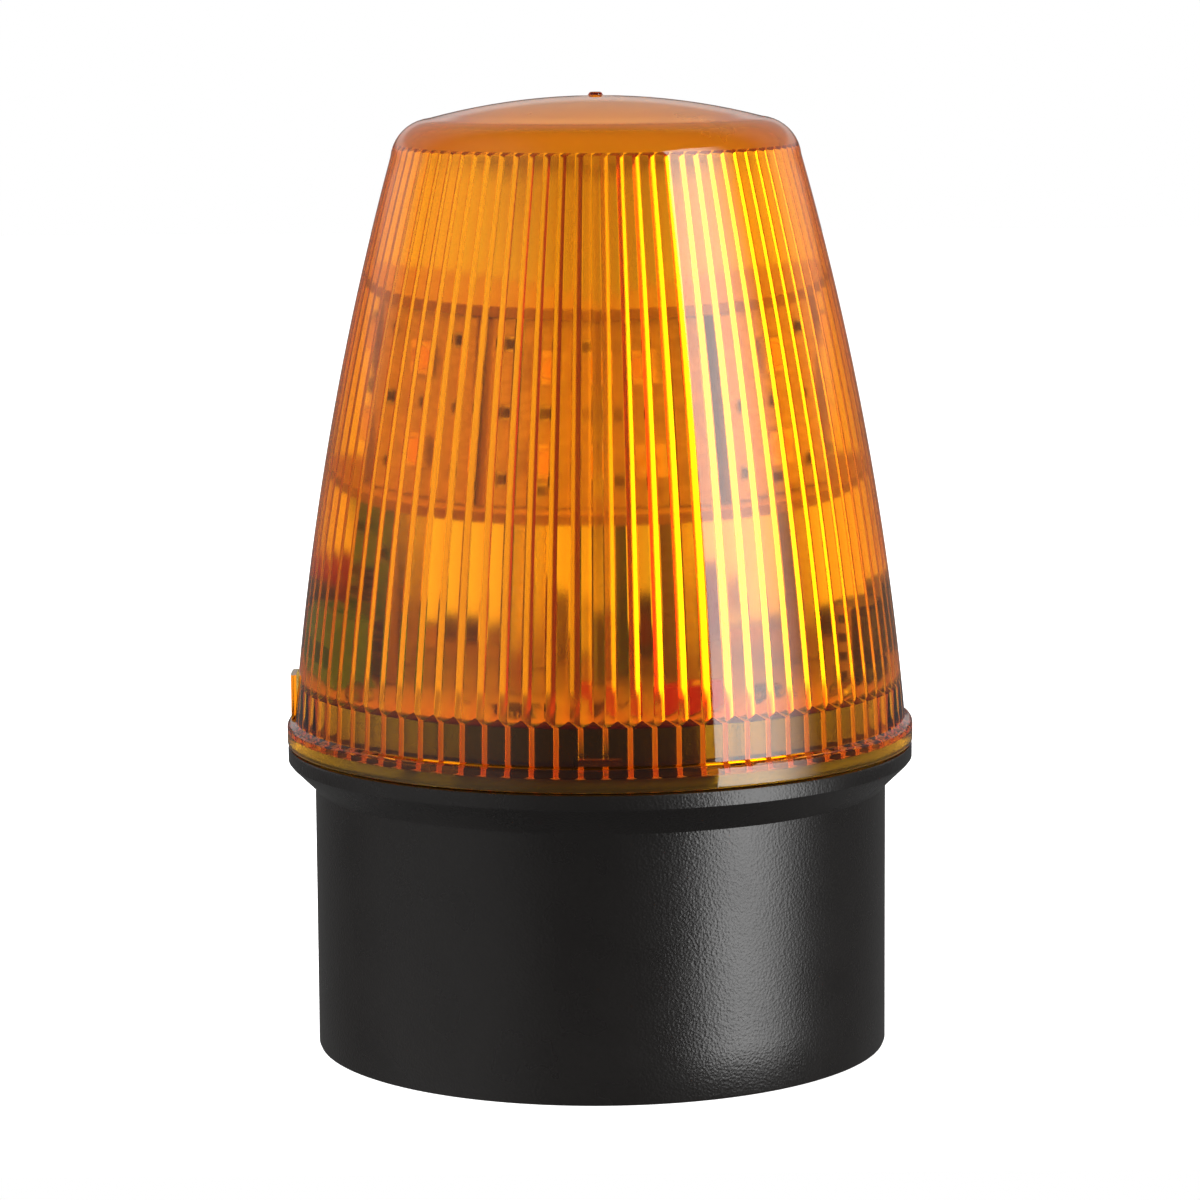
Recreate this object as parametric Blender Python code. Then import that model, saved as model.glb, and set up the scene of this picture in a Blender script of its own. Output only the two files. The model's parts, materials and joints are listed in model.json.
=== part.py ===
# Amber LED warning light: domed ribbed lens, twist-locked onto a deep black base that holds the boards.
# Units are metres. The origin is the centre of the base's underside and +Z points up through the dome.

from math import asin, atan2, cos, hypot, radians, sin, sqrt, tau

import bmesh
import bpy
from mathutils import Matrix, Vector

GAP = 0.0003            # air between two pieces that meet
ROUND_STEPS = 64        # sides of the large turned pieces
SMALL_STEPS = 20        # sides of the small turned pieces
MERGE = 0.000001

# Base
BASE_RADIUS = 0.0442
BASE_INNER_RADIUS = 0.0420
BASE_FLOOR = 0.0030
BASE_EDGE = 0.0004
FLANGE_RADIUS = 0.0483
FLANGE_FOOT = 0.0410    # where the flare under the flange starts
FLANGE_EDGE = 0.0447
FLANGE_TOP = 0.0471
COLLAR_RADIUS = 0.0447
COLLAR_TOP = 0.0565
CABLE_HOLE_RADIUS = 0.0100
FIXING_HOLE_RADIUS = 0.0024
FIXING_SPACING = 0.0600
GASKET_INNER = 0.0365
GASKET_OUTER = 0.0405
GASKET_GROOVE = 0.0018

# Lens
LENS_RIM_RADIUS = 0.0484
LENS_RIM_TOP = 0.0503
LENS_FOOT = FLANGE_TOP + GAP
FLANK_BOTTOM = (0.0472, 0.0512)     # radius, height
FLANK_TOP = (0.0313, 0.1374)
FLANK_BEND = 0.4700
SHOULDER_BEND = 0.0065
DOME_BEND = 0.1000
DOME_EDGE_RADIUS = 0.0255
DOME_TOP = 0.14645
NUB_RADIUS = 0.0011
LENS_TOP = 0.1470
LENS_WALL = 0.0022
BAND_INNER_RADIUS = 0.0452
RIB_FOOT = 0.0568
INNER_WALL_TOP = 0.1390
PAD_RADIUS = 0.04765
PAD_HEIGHTS = (0.0509, 0.0580)
PAD_HALF_ANGLE = 4

# Twist lock
LUG_COUNT = 3
LUG_FIRST_ANGLE = 30
LUG_HALF_ANGLE = 4
LUG_RADIUS = 0.0439
LUG_HEIGHTS = (0.0500, 0.0518)
LOCK_TURN = 22
LOCK_RUN_REACH = LUG_HALF_ANGLE + 1         # degrees either side of a lug
LOCK_ENTRY_REACH = LUG_HALF_ANGLE + 0.95
LOCK_GROOVE_RADIUS = 0.0436

# Seal between lens and flange
SEAL_THICKNESS = 0.0016
SEAL_RADIUS = COLLAR_RADIUS + GAP + 0.0001 + SEAL_THICKNESS / 2

# Main board
BOARD_THICKNESS = 0.0016
BOARD_RADIUS = 0.0405
BOARD_BOTTOM = 0.0548
BOARD_TOP = BOARD_BOTTOM + BOARD_THICKNESS
STANDING = BOARD_TOP + GAP          # foot of every component on the board
PILLAR_ANGLES = (90, 210, 330)
BASE_PILLAR_CENTRE = 0.0368
BASE_PILLAR_RADIUS = 0.0034
SCREW_HOLE_RADIUS = 0.0015
SCREW_HOLE_DEPTH = 0.0120
SCREW_SHANK_RADIUS = 0.0011
BOARD_SCREW_HEAD = (0.0028, 0.0020)         # radius, height
PILLAR_SCREW_HEAD = (0.0026, 0.0018)
PILLAR_SCREW_LENGTH = 0.0070

# Tower of light-emitting diodes
TOWER_BOARD_BOTTOM = 0.0837
TOWER_BOARD_TOP = TOWER_BOARD_BOTTOM + BOARD_THICKNESS
TOWER_BOARD_RADIUS = 0.0275
TOWER_PILLAR_CENTRE = 0.0150
TOWER_PILLAR_RADIUS = 0.0032
TOWER_PILLAR_ANGLES = (30, 150, 270)
TOWER_PILLAR_BORE = (0.0017, 0.0080)        # radius, depth
DRIVER_BOARD_WIDTH = 0.0180
DRIVER_BOARD_X = -0.0212
LED_BOARD_COUNT = 6
LED_BOARD_WIDTH = 0.0210
LED_BOARD_HEIGHT = 0.0280
LED_BOARD_FACE = 0.0210             # from the axis to the outer face
LED_SIZE = (0.0050, 0.0016, 0.0050)
LED_ROWS = {"lower": 0.0070, "upper": 0.0210}
TOWER_CAP_BOTTOM = TOWER_BOARD_TOP + GAP + LED_BOARD_HEIGHT + GAP
TOWER_CAP_RADIUS = 0.0240

# Terminal block, its length along Y
TERMINAL_CENTRE = (-0.0305, -0.0040)
TERMINAL_SIZE = (0.0090, 0.0156, 0.0100)
TERMINAL_PITCH = 0.0050
TERMINAL_SCREW_OFFSET = 0.0010
TERMINAL_BEVEL = 0.0022
TERMINAL_WELL = (0.0019, 0.0038)            # radius, depth
TERMINAL_ENTRY = (0.0050, 0.0032, 0.0034)
TERMINAL_ENTRY_FOOT = 0.0022
TERMINAL_SCREW = (0.0016, 0.0018)           # radius, height

# Mode switch, its sliders along Y
SWITCH_CENTRE = (0.0090, -0.0320)
SWITCH_SIZE = (0.0076, 0.0062, 0.0040)
SWITCH_PITCH = 0.00254
SLOT_SIZE = (0.0015, 0.0034, 0.0014)
SLIDER_SIZE = (0.0009, 0.0012, 0.0016)
SLIDER_TRAVEL = 0.0016

# Other components: centre, radius and height of each can, then sizes of the rest
CANS = {
    "capacitor_1": ((0.0310, -0.0060), 0.0058, 0.0115),
    "capacitor_2": ((0.0270, 0.0145), 0.0048, 0.0105),
}
CHOKE_CENTRE = (-0.0255, 0.0195)
CHOKE_RADIUS = 0.0060
CHOKE_HEIGHT = 0.0090
CHOKE_LIP = (0.0010, 0.0015)                # how far it stands out, thickness
VARISTOR_CENTRE = (-0.0120, 0.0270)
VARISTOR_RADIUS = 0.0066
VARISTOR_TURN = 20
RECTIFIER_CENTRE = (0.0080, 0.0290)
RECTIFIER_SIZE = (0.0086, 0.0064, 0.0034)
RECTIFIER_TURN = -15


def clear_scene():
    for old in list(bpy.data.objects):
        bpy.data.objects.remove(old)


def make_material(name, colour, roughness, metallic=0.0, transmission=0.0):
    made = bpy.data.materials.new(name)
    made.use_nodes = True
    shader = made.node_tree.nodes["Principled BSDF"]
    shader.inputs["Base Color"].default_value = (*colour, 1)
    shader.inputs["Roughness"].default_value = roughness
    shader.inputs["Metallic"].default_value = metallic
    shader.inputs["Transmission Weight"].default_value = transmission
    made.diffuse_color = (*colour, 1)
    return made


def add_object(name, shape, material, place=(0, 0, 0), turn=0.0):
    """Make a named object of a bmesh, turned about Z and then moved."""
    bmesh.ops.remove_doubles(shape, verts=shape.verts, dist=MERGE)
    bmesh.ops.recalc_face_normals(shape, faces=shape.faces)
    mesh = bpy.data.meshes.new(name)
    shape.to_mesh(mesh)
    shape.free()
    mesh.materials.append(material)
    mesh.shade_smooth()
    mesh.set_sharp_from_angle(angle=radians(35))
    added = bpy.data.objects.new(name, mesh)
    added.location = place
    added.rotation_euler.z = turn
    bpy.context.scene.collection.objects.link(added)
    return added


def turned(outline, steps=ROUND_STEPS, start=0.0, angle=tau):
    """Spin an outline of (radius, height) points about Z. A part turn gets end faces."""
    shape = bmesh.new()
    points = [shape.verts.new((r * cos(start), r * sin(start), z)) for r, z in outline]
    edges = [
        shape.edges.new(pair)
        for pair in zip(points, points[1:] + points[:1])
        if any(hypot(p.co.x, p.co.y) > MERGE for p in pair)
    ]
    whole = angle == tau
    if not whole:
        first_end = shape.faces.new(points)
    spun = bmesh.ops.spin(
        shape, geom=points + edges, cent=(0, 0, 0), axis=(0, 0, 1), angle=angle, steps=steps,
        use_merge=whole,
    )
    if not whole:
        last = [item for item in spun["geom_last"] if isinstance(item, bmesh.types.BMVert)]
        by_place = {(round(hypot(v.co.x, v.co.y), 7), round(v.co.z, 7)): v for v in last}
        shape.faces.new([by_place[round(r, 7), round(z, 7)] for r, z in outline])
        first_end.normal_flip()
    return shape


def extruded(outline, bottom, top):
    """Raise a flat outline of (x, y) points from one height to another."""
    shape = bmesh.new()
    face = shape.faces.new([shape.verts.new((x, y, bottom)) for x, y in outline])
    raised = bmesh.ops.extrude_face_region(shape, geom=[face])["geom"]
    corners = [item for item in raised if isinstance(item, bmesh.types.BMVert)]
    bmesh.ops.translate(shape, verts=corners, vec=(0, 0, top - bottom))
    return shape


def block(size, bottom=0.0):
    """A box centred on the axis that stands on a height."""
    x, y = size[0] / 2, size[1] / 2
    return extruded([(-x, -y), (x, -y), (x, y), (-x, y)], bottom, bottom + size[2])


def moved(shape, place=(0, 0, 0), turn=0.0):
    matrix = Matrix.Translation(place) @ Matrix.Rotation(turn, 4, "Z")
    bmesh.ops.transform(shape, matrix=matrix, verts=shape.verts)
    return shape


def gathered(shapes):
    """One bmesh of several separate ones, as a cutter or something to join on."""
    whole = bmesh.new()
    for shape in shapes:
        mesh = bpy.data.meshes.new("gathered")
        shape.to_mesh(mesh)
        shape.free()
        whole.from_mesh(mesh)
        bpy.data.meshes.remove(mesh)
    return whole


def apply_boolean(target, shape, operation, name):
    """Cut a helper shape from an object, or join it on."""
    helper = add_object(name, shape, target.data.materials[0])
    helper.hide_render = True
    helper.display_type = "WIRE"
    change = target.modifiers.new(name, "BOOLEAN")
    change.operation = operation
    change.solver = "EXACT"
    change.object = helper


def cylinder(radius, bottom, top, steps=SMALL_STEPS):
    return turned([(0, bottom), (radius, bottom), (radius, top), (0, top)], steps)


def arc_block(inner, outer, heights, start, end):
    """A stretch of a ring between two angles in degrees, about 3 degrees to a step."""
    bottom, top = heights
    outline = [(inner, bottom), (outer, bottom), (outer, top), (inner, top)]
    steps = max(2, round((end - start) / 3))
    return turned(outline, steps, radians(start), radians(end - start))


def arc_between(start, end, bend, steps):
    """Points after the start of an arc that bulges away from the axis, in (radius, height)."""
    chord = Vector(end) - Vector(start)
    to_centre = Vector((-chord.y, chord.x)).normalized() * sqrt(bend**2 - (chord.length / 2) ** 2)
    centre = (Vector(start) + Vector(end)) / 2 + to_centre
    first = atan2(start[1] - centre.y, start[0] - centre.x)
    sweep = 2 * asin(chord.length / 2 / bend)
    return [
        (centre.x + bend * cos(first + sweep * i / steps), centre.y + bend * sin(first + sweep * i / steps))
        for i in range(1, steps + 1)
    ]


def dome_height(radius, top, bend):
    return top - bend + sqrt(bend**2 - radius**2)


def dome_points(first_radius, top, bend, steps, last_radius=0.0):
    """Points on a shallow dome, from its edge towards the axis."""
    radii = [first_radius + (last_radius - first_radius) * i / steps for i in range(1, steps + 1)]
    return [(r, dome_height(r, top, bend)) for r in radii]


def around(angle, radius, height=0.0):
    return (radius * cos(radians(angle)), radius * sin(radians(angle)), height)


def lock_angles():
    return [LUG_FIRST_ANGLE + 360 / LUG_COUNT * i for i in range(LUG_COUNT)]


def base_pillar():
    """A round-nosed boss that runs back into the base's wall, pointing along +X."""
    nose = [
        (BASE_PILLAR_CENTRE + BASE_PILLAR_RADIUS * cos(a), BASE_PILLAR_RADIUS * sin(a))
        for a in (radians(90 + 20 * i) for i in range(10))
    ]
    wall = (BASE_INNER_RADIUS + BASE_RADIUS) / 2
    outline = [(wall, BASE_PILLAR_RADIUS)] + nose + [(wall, -BASE_PILLAR_RADIUS)]
    return extruded(outline, BASE_FLOOR / 2, BOARD_BOTTOM - GAP)


def board_screw_holes(bottom):
    """Cutters for the main board's three screws, from a height up through the board."""
    hole = (SCREW_HOLE_RADIUS, bottom, BOARD_TOP + GAP, 12)
    return [moved(cylinder(*hole), around(a, BASE_PILLAR_CENTRE)) for a in PILLAR_ANGLES]


def make_base(black):
    outline = [
        (CABLE_HOLE_RADIUS, 0),
        (GASKET_INNER, 0),
        (GASKET_INNER, GASKET_GROOVE),
        (GASKET_OUTER, GASKET_GROOVE),
        (GASKET_OUTER, 0),
        (BASE_RADIUS - BASE_EDGE, 0),
        (BASE_RADIUS, BASE_EDGE),
        (BASE_RADIUS, FLANGE_FOOT),
        (FLANGE_RADIUS, FLANGE_EDGE),
        (FLANGE_RADIUS, FLANGE_TOP),
        (COLLAR_RADIUS, FLANGE_TOP),
        (COLLAR_RADIUS, COLLAR_TOP - BASE_EDGE),
        (COLLAR_RADIUS - BASE_EDGE, COLLAR_TOP),
        (BASE_INNER_RADIUS, COLLAR_TOP),
        (BASE_INNER_RADIUS, BASE_FLOOR),
        (CABLE_HOLE_RADIUS, BASE_FLOOR),
    ]
    base = add_object("base_housing", turned(outline), black)
    pillars = [moved(base_pillar(), turn=radians(a)) for a in PILLAR_ANGLES]
    apply_boolean(base, gathered(pillars), "UNION", "base_pillars")
    holes = board_screw_holes(BOARD_BOTTOM - SCREW_HOLE_DEPTH)
    holes += [
        moved(cylinder(FIXING_HOLE_RADIUS, -BASE_FLOOR, 2 * BASE_FLOOR), (side * FIXING_SPACING / 2, 0, 0))
        for side in (-1, 1)
    ]
    apply_boolean(base, gathered(holes), "DIFFERENCE", "base_holes")
    beyond = COLLAR_RADIUS + 2 * GAP
    run_heights = (LUG_HEIGHTS[0] - GAP, LUG_HEIGHTS[1] + GAP)
    runs = [
        arc_block(
            LOCK_GROOVE_RADIUS, beyond, run_heights, a - LOCK_RUN_REACH, a + LOCK_TURN + LOCK_RUN_REACH
        )
        for a in lock_angles()
    ]
    apply_boolean(base, gathered(runs), "DIFFERENCE", "lock_runs")
    entry_heights = (run_heights[0] + GAP, COLLAR_TOP + GAP)
    entries = [
        arc_block(
            LOCK_GROOVE_RADIUS, beyond, entry_heights, a - LOCK_ENTRY_REACH, a + LOCK_ENTRY_REACH
        )
        for a in (angle + LOCK_TURN for angle in lock_angles())
    ]
    apply_boolean(base, gathered(entries), "DIFFERENCE", "lock_entries")


def make_base_fittings(rubber):
    ring = [
        (GASKET_INNER + GAP, 0),
        (GASKET_OUTER - GAP, 0),
        (GASKET_OUTER - GAP, GASKET_GROOVE - GAP),
        (GASKET_INNER + GAP, GASKET_GROOVE - GAP),
    ]
    add_object("mounting_gasket", turned(ring), rubber)
    neck = CABLE_HOLE_RADIUS - GAP
    grommet = [
        (0, 0.0014), (0.0062, 0.0014), (0.0074, 0.0006), (neck, 0.0006),
        (neck, BASE_FLOOR + GAP), (0.0126, BASE_FLOOR + GAP), (0.0126, 0.0049), (0.0082, 0.0052),
        (0.0066, 0.0024), (0, 0.0024),
    ]
    add_object("cable_grommet", turned(grommet, 32), rubber)
    middle = FLANGE_TOP + GAP + SEAL_THICKNESS / 2
    section = [
        (SEAL_RADIUS + SEAL_THICKNESS / 2 * cos(a), middle + SEAL_THICKNESS / 2 * sin(a))
        for a in (radians(45 * i) for i in range(8))
    ]
    add_object("lens_seal", turned(section, 48), rubber)


def make_lens(amber):
    seal_step = FLANGE_TOP + GAP + SEAL_THICKNESS + GAP
    seal_wall = SEAL_RADIUS + SEAL_THICKNESS / 2 + GAP
    outline = [
        (seal_wall, LENS_FOOT),
        (LENS_RIM_RADIUS - 0.0003, LENS_FOOT),
        (LENS_RIM_RADIUS, LENS_FOOT + 0.0003),
        (LENS_RIM_RADIUS, LENS_RIM_TOP),
        (LENS_RIM_RADIUS - 0.0005, LENS_RIM_TOP + 0.0006),
        FLANK_BOTTOM,
    ]
    outline += arc_between(FLANK_BOTTOM, FLANK_TOP, FLANK_BEND, 6)
    dome_edge = (DOME_EDGE_RADIUS, dome_height(DOME_EDGE_RADIUS, DOME_TOP, DOME_BEND))
    outline += arc_between(FLANK_TOP, dome_edge, SHOULDER_BEND, 4)
    outline += dome_points(DOME_EDGE_RADIUS, DOME_TOP, DOME_BEND, 3, NUB_RADIUS)
    outline += [(0.8 * NUB_RADIUS, LENS_TOP), (0, LENS_TOP)]
    inside_top = DOME_TOP - LENS_WALL
    inside_bend = DOME_BEND - LENS_WALL
    corner = (DOME_EDGE_RADIUS, dome_height(DOME_EDGE_RADIUS, inside_top, inside_bend))
    wall_top = (FLANK_TOP[0] - LENS_WALL, INNER_WALL_TOP - 0.0020)
    wall_foot = (BAND_INNER_RADIUS - LENS_WALL / 4, RIB_FOOT)
    inside = [wall_foot] + arc_between(wall_foot, wall_top, FLANK_BEND, 4)
    inside += arc_between(wall_top, corner, SHOULDER_BEND, 2)
    inside += dome_points(DOME_EDGE_RADIUS, inside_top, inside_bend, 3)
    outline += reversed(inside)
    outline += [(BAND_INNER_RADIUS, RIB_FOOT), (BAND_INNER_RADIUS, seal_step), (seal_wall, seal_step)]
    lens = add_object("lens", turned(outline), amber)
    lugs = [
        arc_block(LUG_RADIUS, BAND_INNER_RADIUS + GAP, LUG_HEIGHTS, a - LUG_HALF_ANGLE, a + LUG_HALF_ANGLE)
        for a in lock_angles()
    ]
    pad = arc_block(
        BAND_INNER_RADIUS + 2 * GAP, PAD_RADIUS, PAD_HEIGHTS, 180 - PAD_HALF_ANGLE, 180 + PAD_HALF_ANGLE
    )
    apply_boolean(lens, gathered(lugs + [pad]), "UNION", "lens_lugs")


def screw_shape(head, length, seat):
    """Pan-head screw that hangs from its seat height."""
    shank = SCREW_SHANK_RADIUS
    head_radius, head_height = head
    outline = [
        (0, seat - length), (0.4 * shank, seat - length), (shank, seat - length + 2 * shank), (shank, seat),
        (head_radius, seat), (head_radius, seat + 0.55 * head_height),
        (0.6 * head_radius, seat + head_height), (0, seat + head_height),
    ]
    return turned(outline, 16)


def make_main_board(white, steel):
    board = add_object("main_board", cylinder(BOARD_RADIUS, BOARD_BOTTOM, BOARD_TOP, ROUND_STEPS), white)
    apply_boolean(board, gathered(board_screw_holes(BOARD_BOTTOM - GAP)), "DIFFERENCE", "main_board_holes")
    for number, angle in enumerate(PILLAR_ANGLES, 1):
        shape = screw_shape(BOARD_SCREW_HEAD, SCREW_HOLE_DEPTH, STANDING)
        add_object(f"board_screw_{number}", shape, steel, around(angle, BASE_PILLAR_CENTRE))


def make_terminal_block(green, steel):
    x, y, height = TERMINAL_SIZE
    top = STANDING + height
    bevel = TERMINAL_BEVEL
    side = [(-x / 2, 0), (x / 2, 0), (x / 2, height), (-x / 2 + bevel, height), (-x / 2, height - bevel)]
    shape = extruded(side, -y / 2, y / 2)
    stand = Matrix.Rotation(radians(90), 4, "X")
    bmesh.ops.transform(shape, matrix=Matrix.Translation((0, 0, STANDING)) @ stand, verts=shape.verts)
    body = add_object("terminal_block", shape, green, (*TERMINAL_CENTRE, 0))
    offsets = [TERMINAL_PITCH * i for i in (-1, 0, 1)]
    well_radius, well_depth = TERMINAL_WELL
    cuts = []
    for offset in offsets:
        well = cylinder(well_radius, top - well_depth, top + GAP, 12)
        place = (TERMINAL_CENTRE[0] + TERMINAL_SCREW_OFFSET, TERMINAL_CENTRE[1] + offset, 0)
        cuts.append(moved(well, place))
        entry = block(TERMINAL_ENTRY, STANDING + TERMINAL_ENTRY_FOOT)
        cuts.append(moved(entry, (TERMINAL_CENTRE[0] - x / 2, place[1], 0)))
    apply_boolean(body, gathered(cuts), "DIFFERENCE", "terminal_cuts")
    radius, screw_height = TERMINAL_SCREW
    foot = top - well_depth + GAP
    for number, offset in enumerate(offsets, 1):
        place = (TERMINAL_CENTRE[0] + TERMINAL_SCREW_OFFSET, TERMINAL_CENTRE[1] + offset, 0)
        screw = cylinder(radius, foot, foot + screw_height, 12)
        add_object(f"terminal_screw_{number}", screw, steel, place)


def make_mode_switch(red, white):
    top = STANDING + SWITCH_SIZE[2]
    body = add_object("mode_switch", block(SWITCH_SIZE, STANDING), red, (*SWITCH_CENTRE, 0))
    slots = []
    for number, side in enumerate((-1, 1), 1):
        x = SWITCH_CENTRE[0] + side * SWITCH_PITCH / 2
        slot = block((*SLOT_SIZE[:2], 2 * SLOT_SIZE[2]), top - SLOT_SIZE[2])
        slots.append(moved(slot, (x, SWITCH_CENTRE[1], 0)))
        slider = block(SLIDER_SIZE, top - SLOT_SIZE[2] + GAP)
        add_object(f"mode_slider_{number}", slider, white, (x, SWITCH_CENTRE[1] - SLIDER_TRAVEL / 2, 0))
    apply_boolean(body, gathered(slots), "DIFFERENCE", "switch_slots")


def make_components(black, sleeve, red, ferrite):
    for name, (centre, radius, height) in CANS.items():
        waist = STANDING + 0.0022
        outline = [
            (0, STANDING), (radius, STANDING), (radius, waist), (radius - 0.0005, waist + 0.0006),
            (radius, waist + 0.0012), (radius, STANDING + height - 0.0006),
            (radius - 0.0007, STANDING + height), (0, STANDING + height),
        ]
        add_object(name, turned(outline, 24), sleeve, (*centre, 0))
    lip, lip_height = CHOKE_LIP
    neck, upper_lip = CHOKE_RADIUS - lip, CHOKE_HEIGHT - lip_height
    spool = [
        (0, 0), (CHOKE_RADIUS, 0), (CHOKE_RADIUS, lip_height), (neck, lip_height), (neck, upper_lip),
        (CHOKE_RADIUS, upper_lip), (CHOKE_RADIUS, CHOKE_HEIGHT), (0, CHOKE_HEIGHT),
    ]
    add_object("choke", turned(spool, 24), ferrite, (*CHOKE_CENTRE, STANDING))
    half = [(VARISTOR_RADIUS - 0.0014, 0.0021), (VARISTOR_RADIUS - 0.0003, 0.0012)]
    disc = [(0, -0.0021)] + [(r, -z) for r, z in half] + [(VARISTOR_RADIUS, 0)] + half[::-1] + [(0, 0.0021)]
    shape = turned(disc, 24)
    bmesh.ops.rotate(shape, verts=shape.verts, cent=(0, 0, 0), matrix=Matrix.Rotation(radians(90), 3, "X"))
    place = (*VARISTOR_CENTRE, STANDING + VARISTOR_RADIUS)
    add_object("varistor", shape, red, place, radians(VARISTOR_TURN))
    bridge = block(RECTIFIER_SIZE, STANDING)
    add_object("rectifier", bridge, black, (*RECTIFIER_CENTRE, 0), radians(RECTIFIER_TURN))


def make_tower(green, white, brass, steel):
    top = TOWER_BOARD_BOTTOM - GAP
    bore, depth = TOWER_PILLAR_BORE
    pillar = [
        (0, STANDING), (TOWER_PILLAR_RADIUS, STANDING), (TOWER_PILLAR_RADIUS, top), (bore, top),
        (bore, TOWER_BOARD_BOTTOM - depth), (0, TOWER_BOARD_BOTTOM - depth),
    ]
    standing = TOWER_BOARD_TOP + GAP
    holes = []
    for number, angle in enumerate(TOWER_PILLAR_ANGLES, 1):
        place = around(angle, TOWER_PILLAR_CENTRE)
        add_object(f"tower_pillar_{number}", turned(pillar, 6), brass, place)
        screw = screw_shape(PILLAR_SCREW_HEAD, PILLAR_SCREW_LENGTH, standing)
        add_object(f"pillar_screw_{number}", screw, steel, place)
        hole = cylinder(SCREW_HOLE_RADIUS, top, standing, 12)
        holes.append(moved(hole, place))
    disc = cylinder(TOWER_BOARD_RADIUS, TOWER_BOARD_BOTTOM, TOWER_BOARD_TOP, 48)
    board = add_object("tower_board", disc, white)
    apply_boolean(board, gathered(holes), "DIFFERENCE", "tower_board_holes")
    driver = block((BOARD_THICKNESS, DRIVER_BOARD_WIDTH, top - STANDING), STANDING)
    add_object("driver_board", driver, green, (DRIVER_BOARD_X, 0, 0))
    for number in range(LED_BOARD_COUNT):
        angle = -90 + 360 / LED_BOARD_COUNT * number
        turn = radians(angle + 90)
        shape = block((LED_BOARD_WIDTH, BOARD_THICKNESS, LED_BOARD_HEIGHT), standing)
        place = around(angle, LED_BOARD_FACE - BOARD_THICKNESS / 2)
        add_object(f"led_board_{number + 1}", shape, white, place, turn)
        for row, height in LED_ROWS.items():
            foot = standing + height - LED_SIZE[2] / 2
            place = around(angle, LED_BOARD_FACE + GAP + LED_SIZE[1] / 2)
            add_object(f"led_{number + 1}_{row}", block(LED_SIZE, foot), white, place, turn)
    cap = cylinder(TOWER_CAP_RADIUS, TOWER_CAP_BOTTOM, TOWER_CAP_BOTTOM + BOARD_THICKNESS, 48)
    add_object("tower_cap", cap, white)


def main():
    clear_scene()
    black = make_material("black_abs", (0.012, 0.012, 0.011), 0.45)
    amber = make_material("amber_polycarbonate", (0.95, 0.42, 0.02), 0.05, transmission=1.0)
    rubber = make_material("black_rubber", (0.02, 0.02, 0.02), 0.7)
    board_green = make_material("green_board", (0.02, 0.16, 0.06), 0.4)
    board_white = make_material("white_board", (0.80, 0.80, 0.76), 0.4)
    steel = make_material("zinc_plated_steel", (0.70, 0.70, 0.68), 0.3, metallic=1.0)
    brass = make_material("nickel_plated_brass", (0.75, 0.70, 0.58), 0.3, metallic=1.0)
    terminal_green = make_material("green_polyamide", (0.03, 0.30, 0.10), 0.45)
    switch_red = make_material("red_switch_plastic", (0.45, 0.02, 0.02), 0.4)
    slider_white = make_material("white_switch_plastic", (0.85, 0.85, 0.82), 0.4)
    sleeve = make_material("capacitor_sleeve", (0.02, 0.02, 0.03), 0.25)
    varistor_red = make_material("varistor_coating", (0.32, 0.02, 0.02), 0.3)
    ferrite = make_material("choke_ferrite", (0.05, 0.05, 0.05), 0.5)
    make_base(black)
    make_base_fittings(rubber)
    make_lens(amber)
    make_main_board(board_white, steel)
    make_terminal_block(terminal_green, steel)
    make_mode_switch(switch_red, slider_white)
    make_components(black, sleeve, varistor_red, ferrite)
    make_tower(board_green, board_white, brass, steel)


main()
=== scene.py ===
import json
from math import asin, atan2, cos, degrees, hypot, pi, radians, sin, sqrt

import bmesh
import bpy
from mathutils import Matrix, Vector


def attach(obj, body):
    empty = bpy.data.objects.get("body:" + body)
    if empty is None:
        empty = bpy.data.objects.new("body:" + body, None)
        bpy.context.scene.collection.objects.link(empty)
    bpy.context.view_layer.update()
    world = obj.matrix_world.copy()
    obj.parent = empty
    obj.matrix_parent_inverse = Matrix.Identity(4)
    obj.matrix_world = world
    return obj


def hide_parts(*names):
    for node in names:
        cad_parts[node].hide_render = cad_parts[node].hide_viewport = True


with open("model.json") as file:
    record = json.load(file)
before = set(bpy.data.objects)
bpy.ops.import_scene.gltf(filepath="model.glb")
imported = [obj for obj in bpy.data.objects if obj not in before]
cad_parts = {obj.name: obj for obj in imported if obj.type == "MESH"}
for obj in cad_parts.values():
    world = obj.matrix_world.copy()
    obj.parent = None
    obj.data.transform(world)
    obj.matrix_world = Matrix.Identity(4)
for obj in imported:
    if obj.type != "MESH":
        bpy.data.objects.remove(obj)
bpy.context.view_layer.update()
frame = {"nodes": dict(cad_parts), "record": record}
nodes = frame["nodes"]
mm = 0.001
colours = {"data_type": "RGBA"}  # a Mix node for colours, which are its inputs 6 and 7
smooth = {"interpolation_type": "SMOOTHSTEP"}
print("frame loaded:", len(nodes), "nodes")


def linear(channel):
    return channel / 12.92 if channel <= 0.04045 else ((channel + 0.055) / 1.055) ** 2.4


def hexColour(code):  # an sRGB hex value as linear red, green, blue, alpha
    return tuple(linear(int(code[i:i + 2], 16) / 255) for i in (1, 3, 5)) + (1.0,)


def addNode(tree, kind, settings=None, **values):
    # settings are the node's own options; values go to its inputs by name or as i and a number, plain or linked
    node = tree.nodes.new(kind)
    for key, value in (settings or {}).items():
        setattr(node, key, value)
    for key, value in values.items():
        numbered = key[0] == "i" and key[1:].isdigit()
        socket = node.inputs[int(key[1:])] if numbered else node.inputs[key.replace("_", " ")]
        if isinstance(value, bpy.types.NodeSocket):
            tree.links.new(value, socket)
        else:
            socket.default_value = value
    return node


def newMaterial(name):  # gives the material, its tree, its shader and the Object coordinates
    material = bpy.data.materials.new(name)
    material.use_nodes = True
    tree = material.node_tree
    shader = tree.nodes["Principled BSDF"]
    place = addNode(tree, "ShaderNodeTexCoord").outputs["Object"]
    return material, tree, shader, place


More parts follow.
